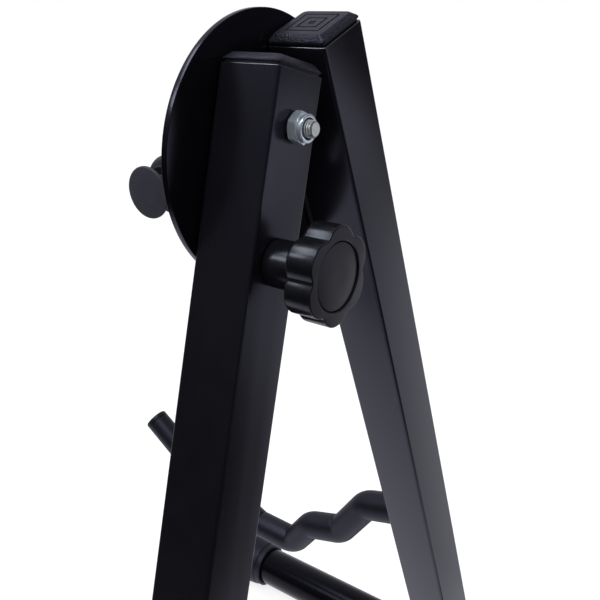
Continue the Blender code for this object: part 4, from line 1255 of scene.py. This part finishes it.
def make_pivot():
    low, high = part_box("pivot_bolt")
    length = high.x - low.x
    smooth_to = length - THREAD_LENGTH
    head = moved(hexagon(BOLT_HEAD), Matrix.Rotation(math.pi, 4, "X")
                 @ Matrix.Translation((0, 0, -BOLT_HEAD)))
    shank = turned([(0, smooth_to, 0), (BOLT_RADIUS, smooth_to, 0),
                    (BOLT_RADIUS, BOLT_HEAD / 2, 0), (0, BOLT_HEAD / 2, 0)], steps=64)
    bolt = combined(combined(head, [shank], "UNION"),
                    [bolt_end(smooth_to - 0.4 * MM, length)], "UNION")
    piece = finished("hinge_bolt", moved(bolt, on_bolt(pivot, low.x)), BOLT_ZINC, "pivot_bolt",
                     smooth=25)
    piece.data.materials.append(CUT_STEEL)
    piece.data.materials.append(THREAD_ROOT_SHADE)
    # Faces on the bolt's end take the cut steel, and faces deep in the thread the painted-shade grey.
    for face in piece.data.polygons:
        radius = math.hypot(face.center.y - pivot.y, face.center.z - pivot.z)
        if face.normal.x > 0.9 and face.center.x > high.x - 0.1 * MM:
            face.material_index = 1
        elif radius < BOLT_RADIUS - THREAD_DEPTH / 2 and face.center.x > high.x - THREAD_LENGTH:
            face.material_index = 2


make_pivot()
make_washer("hinge_washer", ZINC, "pivot_head_washer", pivot, bolt_bore, (0.25, 0.1, 0.1, 0.1), 3)

# %% Lock nut
NUT_HEX_HEIGHT = 4 * MM
COLLAR_RADIUS = 4.8 * MM
RING_SEAT = 3.65 * MM
SEAT_DEPTH = 1.9 * MM


def make_nut():
    low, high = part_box("pivot_lock_nut")
    height = high.x - low.x
    nut = hexagon(NUT_HEX_HEIGHT, skim=0.44 * HEX_FLATS, both_ends=True)
    crown = turned([(0, height, 0), (COLLAR_RADIUS, height, 0.4 * MM),
                    (COLLAR_RADIUS, NUT_HEX_HEIGHT / 2, 0), (0, NUT_HEX_HEIGHT / 2, 0)],
                   arc_steps=5)
    nut = combined(nut, [crown], "UNION")
    bore = rod_tool(bolt_bore, -1 * MM, height + 1 * MM, 64)
    recess = turned([(0, height + 1 * MM, 0), (RING_SEAT + 0.5 * MM, height + 1 * MM, 0),
                     (RING_SEAT + 0.15 * MM, height, 0), (RING_SEAT, height - 0.15 * MM, 0),
                     (RING_SEAT, height - SEAT_DEPTH, 0), (0, height - SEAT_DEPTH, 0)])
    nut = combined(nut, [bore, recess])
    finished("hinge_nut", moved(nut, on_bolt(pivot, low.x)), ZINC, "pivot_lock_nut", smooth=25,
             soften=0.28 * MM)


make_nut()
make_washer("nut_locking_ring", NYLON, "lock_nut_nylon_ring", pivot, BOLT_RADIUS + 0.1 * MM,
            (0.3, 0, 0, 0.4), 6)
for node, axis in (("pivot_slip_washer", pivot), ("clamp_slip_washer", clamp)):
    make_washer(node + "_skin", NYLON, node, axis, bolt_bore, (0.1, 0.1, 0, 0), 2)

# %% [markdown]
# ## Clamp bolt and knob
#
# The clamp bolt's domed head slides along the disc's slot, and the knob pulls it tight. The knob
# is a six-lobed moulding on a round hub. One lobe and one notch are drawn as arcs that touch, spun
# round as six copies and filled, so the outline is smooth. The lobes are rounded more at the back
# than at the face. The face is a separate cap, slightly domed and set in a round seat, which
# hides the brass insert.
# %% Clamp bolt
DOME_HEIGHT = 3.2 * MM


def make_clamp_bolt():
    low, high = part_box("clamp_bolt")
    length = high.x - low.x
    radius = (high.z - low.z) / 2
    bolt = turned([(0, length, 0), (BOLT_RADIUS, length, 0.6 * MM), (BOLT_RADIUS, DOME_HEIGHT, 0),
                   (radius, DOME_HEIGHT, 0.15 * MM), (radius, DOME_HEIGHT - 0.75 * MM, 0.3 * MM),
                   (radius * 0.72, 0.55 * MM, 7 * MM), (radius * 0.3, 0.06 * MM, 7 * MM),
                   (0, 0, 0)], steps=80)
    finished("clamp_stud", moved(bolt, on_bolt(clamp, low.x)), ZINC, "clamp_bolt", smooth=35)


make_clamp_bolt()

# %% Knob outline
LOBES = 6
KNOB_RADIUS = 16.8 * MM
LOBE_RADIUS = 7.8 * MM
NOTCH_RADIUS = 1.8 * MM
KNOB_THICKNESS = 10.6 * MM
KNOB_EDGES = (1.4 * MM, 0.5 * MM)
KNOB_TURNED = math.radians(-10)


def lobe_line():
    """One lobe and the notch after it, as two arcs that touch."""
    out = KNOB_RADIUS - LOBE_RADIUS
    half_pitch = math.pi / LOBES
    reach = LOBE_RADIUS + NOTCH_RADIUS
    away = out * math.cos(half_pitch) + math.sqrt(reach ** 2 - (out * math.sin(half_pitch)) ** 2)
    lobe = Vector((out, 0, 0))
    notch = Vector((away * math.cos(half_pitch), away * math.sin(half_pitch), 0))
    to_notch = (notch - lobe).normalized()
    mirrored = Vector((to_notch.x, -to_notch.y, 0))
    crest = Vector((1, 0, 0)) * LOBE_RADIUS
    first = arc_between(mirrored * LOBE_RADIUS, crest, 12)
    second = arc_between(crest, to_notch * LOBE_RADIUS, 12)
    line = [lobe + arm for arm in first + second[1:]]
    turn = Matrix.Rotation(2 * half_pitch, 3, "Z")
    next_touch = turn @ (lobe + mirrored * LOBE_RADIUS)
    line += [notch + arm for arm in arc_between(line[-1] - notch, next_touch - notch, 10)[1:]]
    return line


def lobed_prism():
    shape, line = drawn(lobe_line())
    bmesh.ops.spin(shape, geom=line, cent=(0, 0, 0), axis=(0, 0, 1),
                   angle=2 * math.pi * (LOBES - 1) / LOBES, steps=LOBES - 1, use_duplicate=True)
    bmesh.ops.remove_doubles(shape, verts=shape.verts[:], dist=0.005 * MM)
    moved(shape, Matrix.Rotation(KNOB_TURNED, 4, "Z"))
    bmesh.ops.edgeloop_fill(shape, edges=shape.edges[:])
    draw_out(shape, (0, 0, KNOB_THICKNESS))
    bmesh.ops.recalc_face_normals(shape, faces=shape.faces[:])
    for height, radius in zip((0, KNOB_THICKNESS), KNOB_EDGES):
        rim = [e for e in shape.edges if all(abs(v.co.z - height) < 0.01 * MM for v in e.verts)]
        bevel_edges(shape, rim, radius, 5)
    return shape


# %% Knob body and face
FACE_RADIUS = 11.4 * MM
FACE_THICKNESS = 1.6 * MM
FACE_CROWN = 0.5 * MM
HUB_RADIUS = 8.3 * MM
SEAT_LIP = 0.35 * MM
INSERT_BORE = (5.1 * MM, 16.6 * MM)
RELIEF_DEPTH = 20.1 * MM


def make_knob():
    low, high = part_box("clamp_knob")
    top = high.x - low.x
    hub_length = top - KNOB_THICKNESS
    body = moved(lobed_prism(), Matrix.Translation((0, 0, hub_length)))
    inside = hub_length + KNOB_THICKNESS / 2
    hub = turned([(0, inside, 0), (HUB_RADIUS, inside, 0), (HUB_RADIUS, 0, 0.9 * MM), (0, 0, 0)])
    body = combined(body, [hub], "UNION")
    floor = top - FACE_THICKNESS - FIT
    wall = FACE_RADIUS + FIT
    seat = turned([(0, top + 1 * MM, 0), (wall + SEAT_LIP, top + 1 * MM, 0),
                   (wall + SEAT_LIP, top, 0), (wall, top - SEAT_LIP, 0), (wall, floor, 0),
                   (0, floor, 0)], steps=120)
    bore = rod_tool(INSERT_BORE[0], -1 * MM, INSERT_BORE[1], 64)
    relief = rod_tool(bolt_bore, -1 * MM, RELIEF_DEPTH, 64)
    body = combined(body, [seat, bore, relief])
    grip = finished("knob_grip", moved(body, on_bolt(clamp, low.x)), KNOB_PLASTIC, "clamp_knob",
                    smooth=38)
    grip.data.materials.append(KNOB_FACE)
    for side in grip.data.polygons:
        if side.normal.x > 0.95:
            side.material_index = 1

    low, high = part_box("knob_face_cap")
    thick = high.x - low.x
    face = turned([(0, thick, 0), (FACE_RADIUS * 0.5, thick, 60 * MM),
                   (FACE_RADIUS, thick - FACE_CROWN, 0.3 * MM), (FACE_RADIUS, 0, 0), (0, 0, 0)],
                  steps=120, arc_steps=8)
    finished("knob_face_plate", moved(face, on_bolt(clamp, low.x)), KNOB_FACE, "knob_face_cap",
             smooth=50)


make_knob()

# %% [markdown]
# ## What stays as packed
#
# The bent steel rods are inside their rubber sleeves and the brass insert is inside the knob.
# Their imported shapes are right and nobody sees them, so they only get a real finish.
# %% Hidden pieces
for node, finish in (("fixed_arm_rod", POWDER_COAT), ("folding_arm_rod", POWDER_COAT),
                     ("knob_threaded_insert", BRASS)):
    for place in frame["nodes"][node].material_slots:
        place.material = finish
print("kept as packed: arm rods and knob insert")
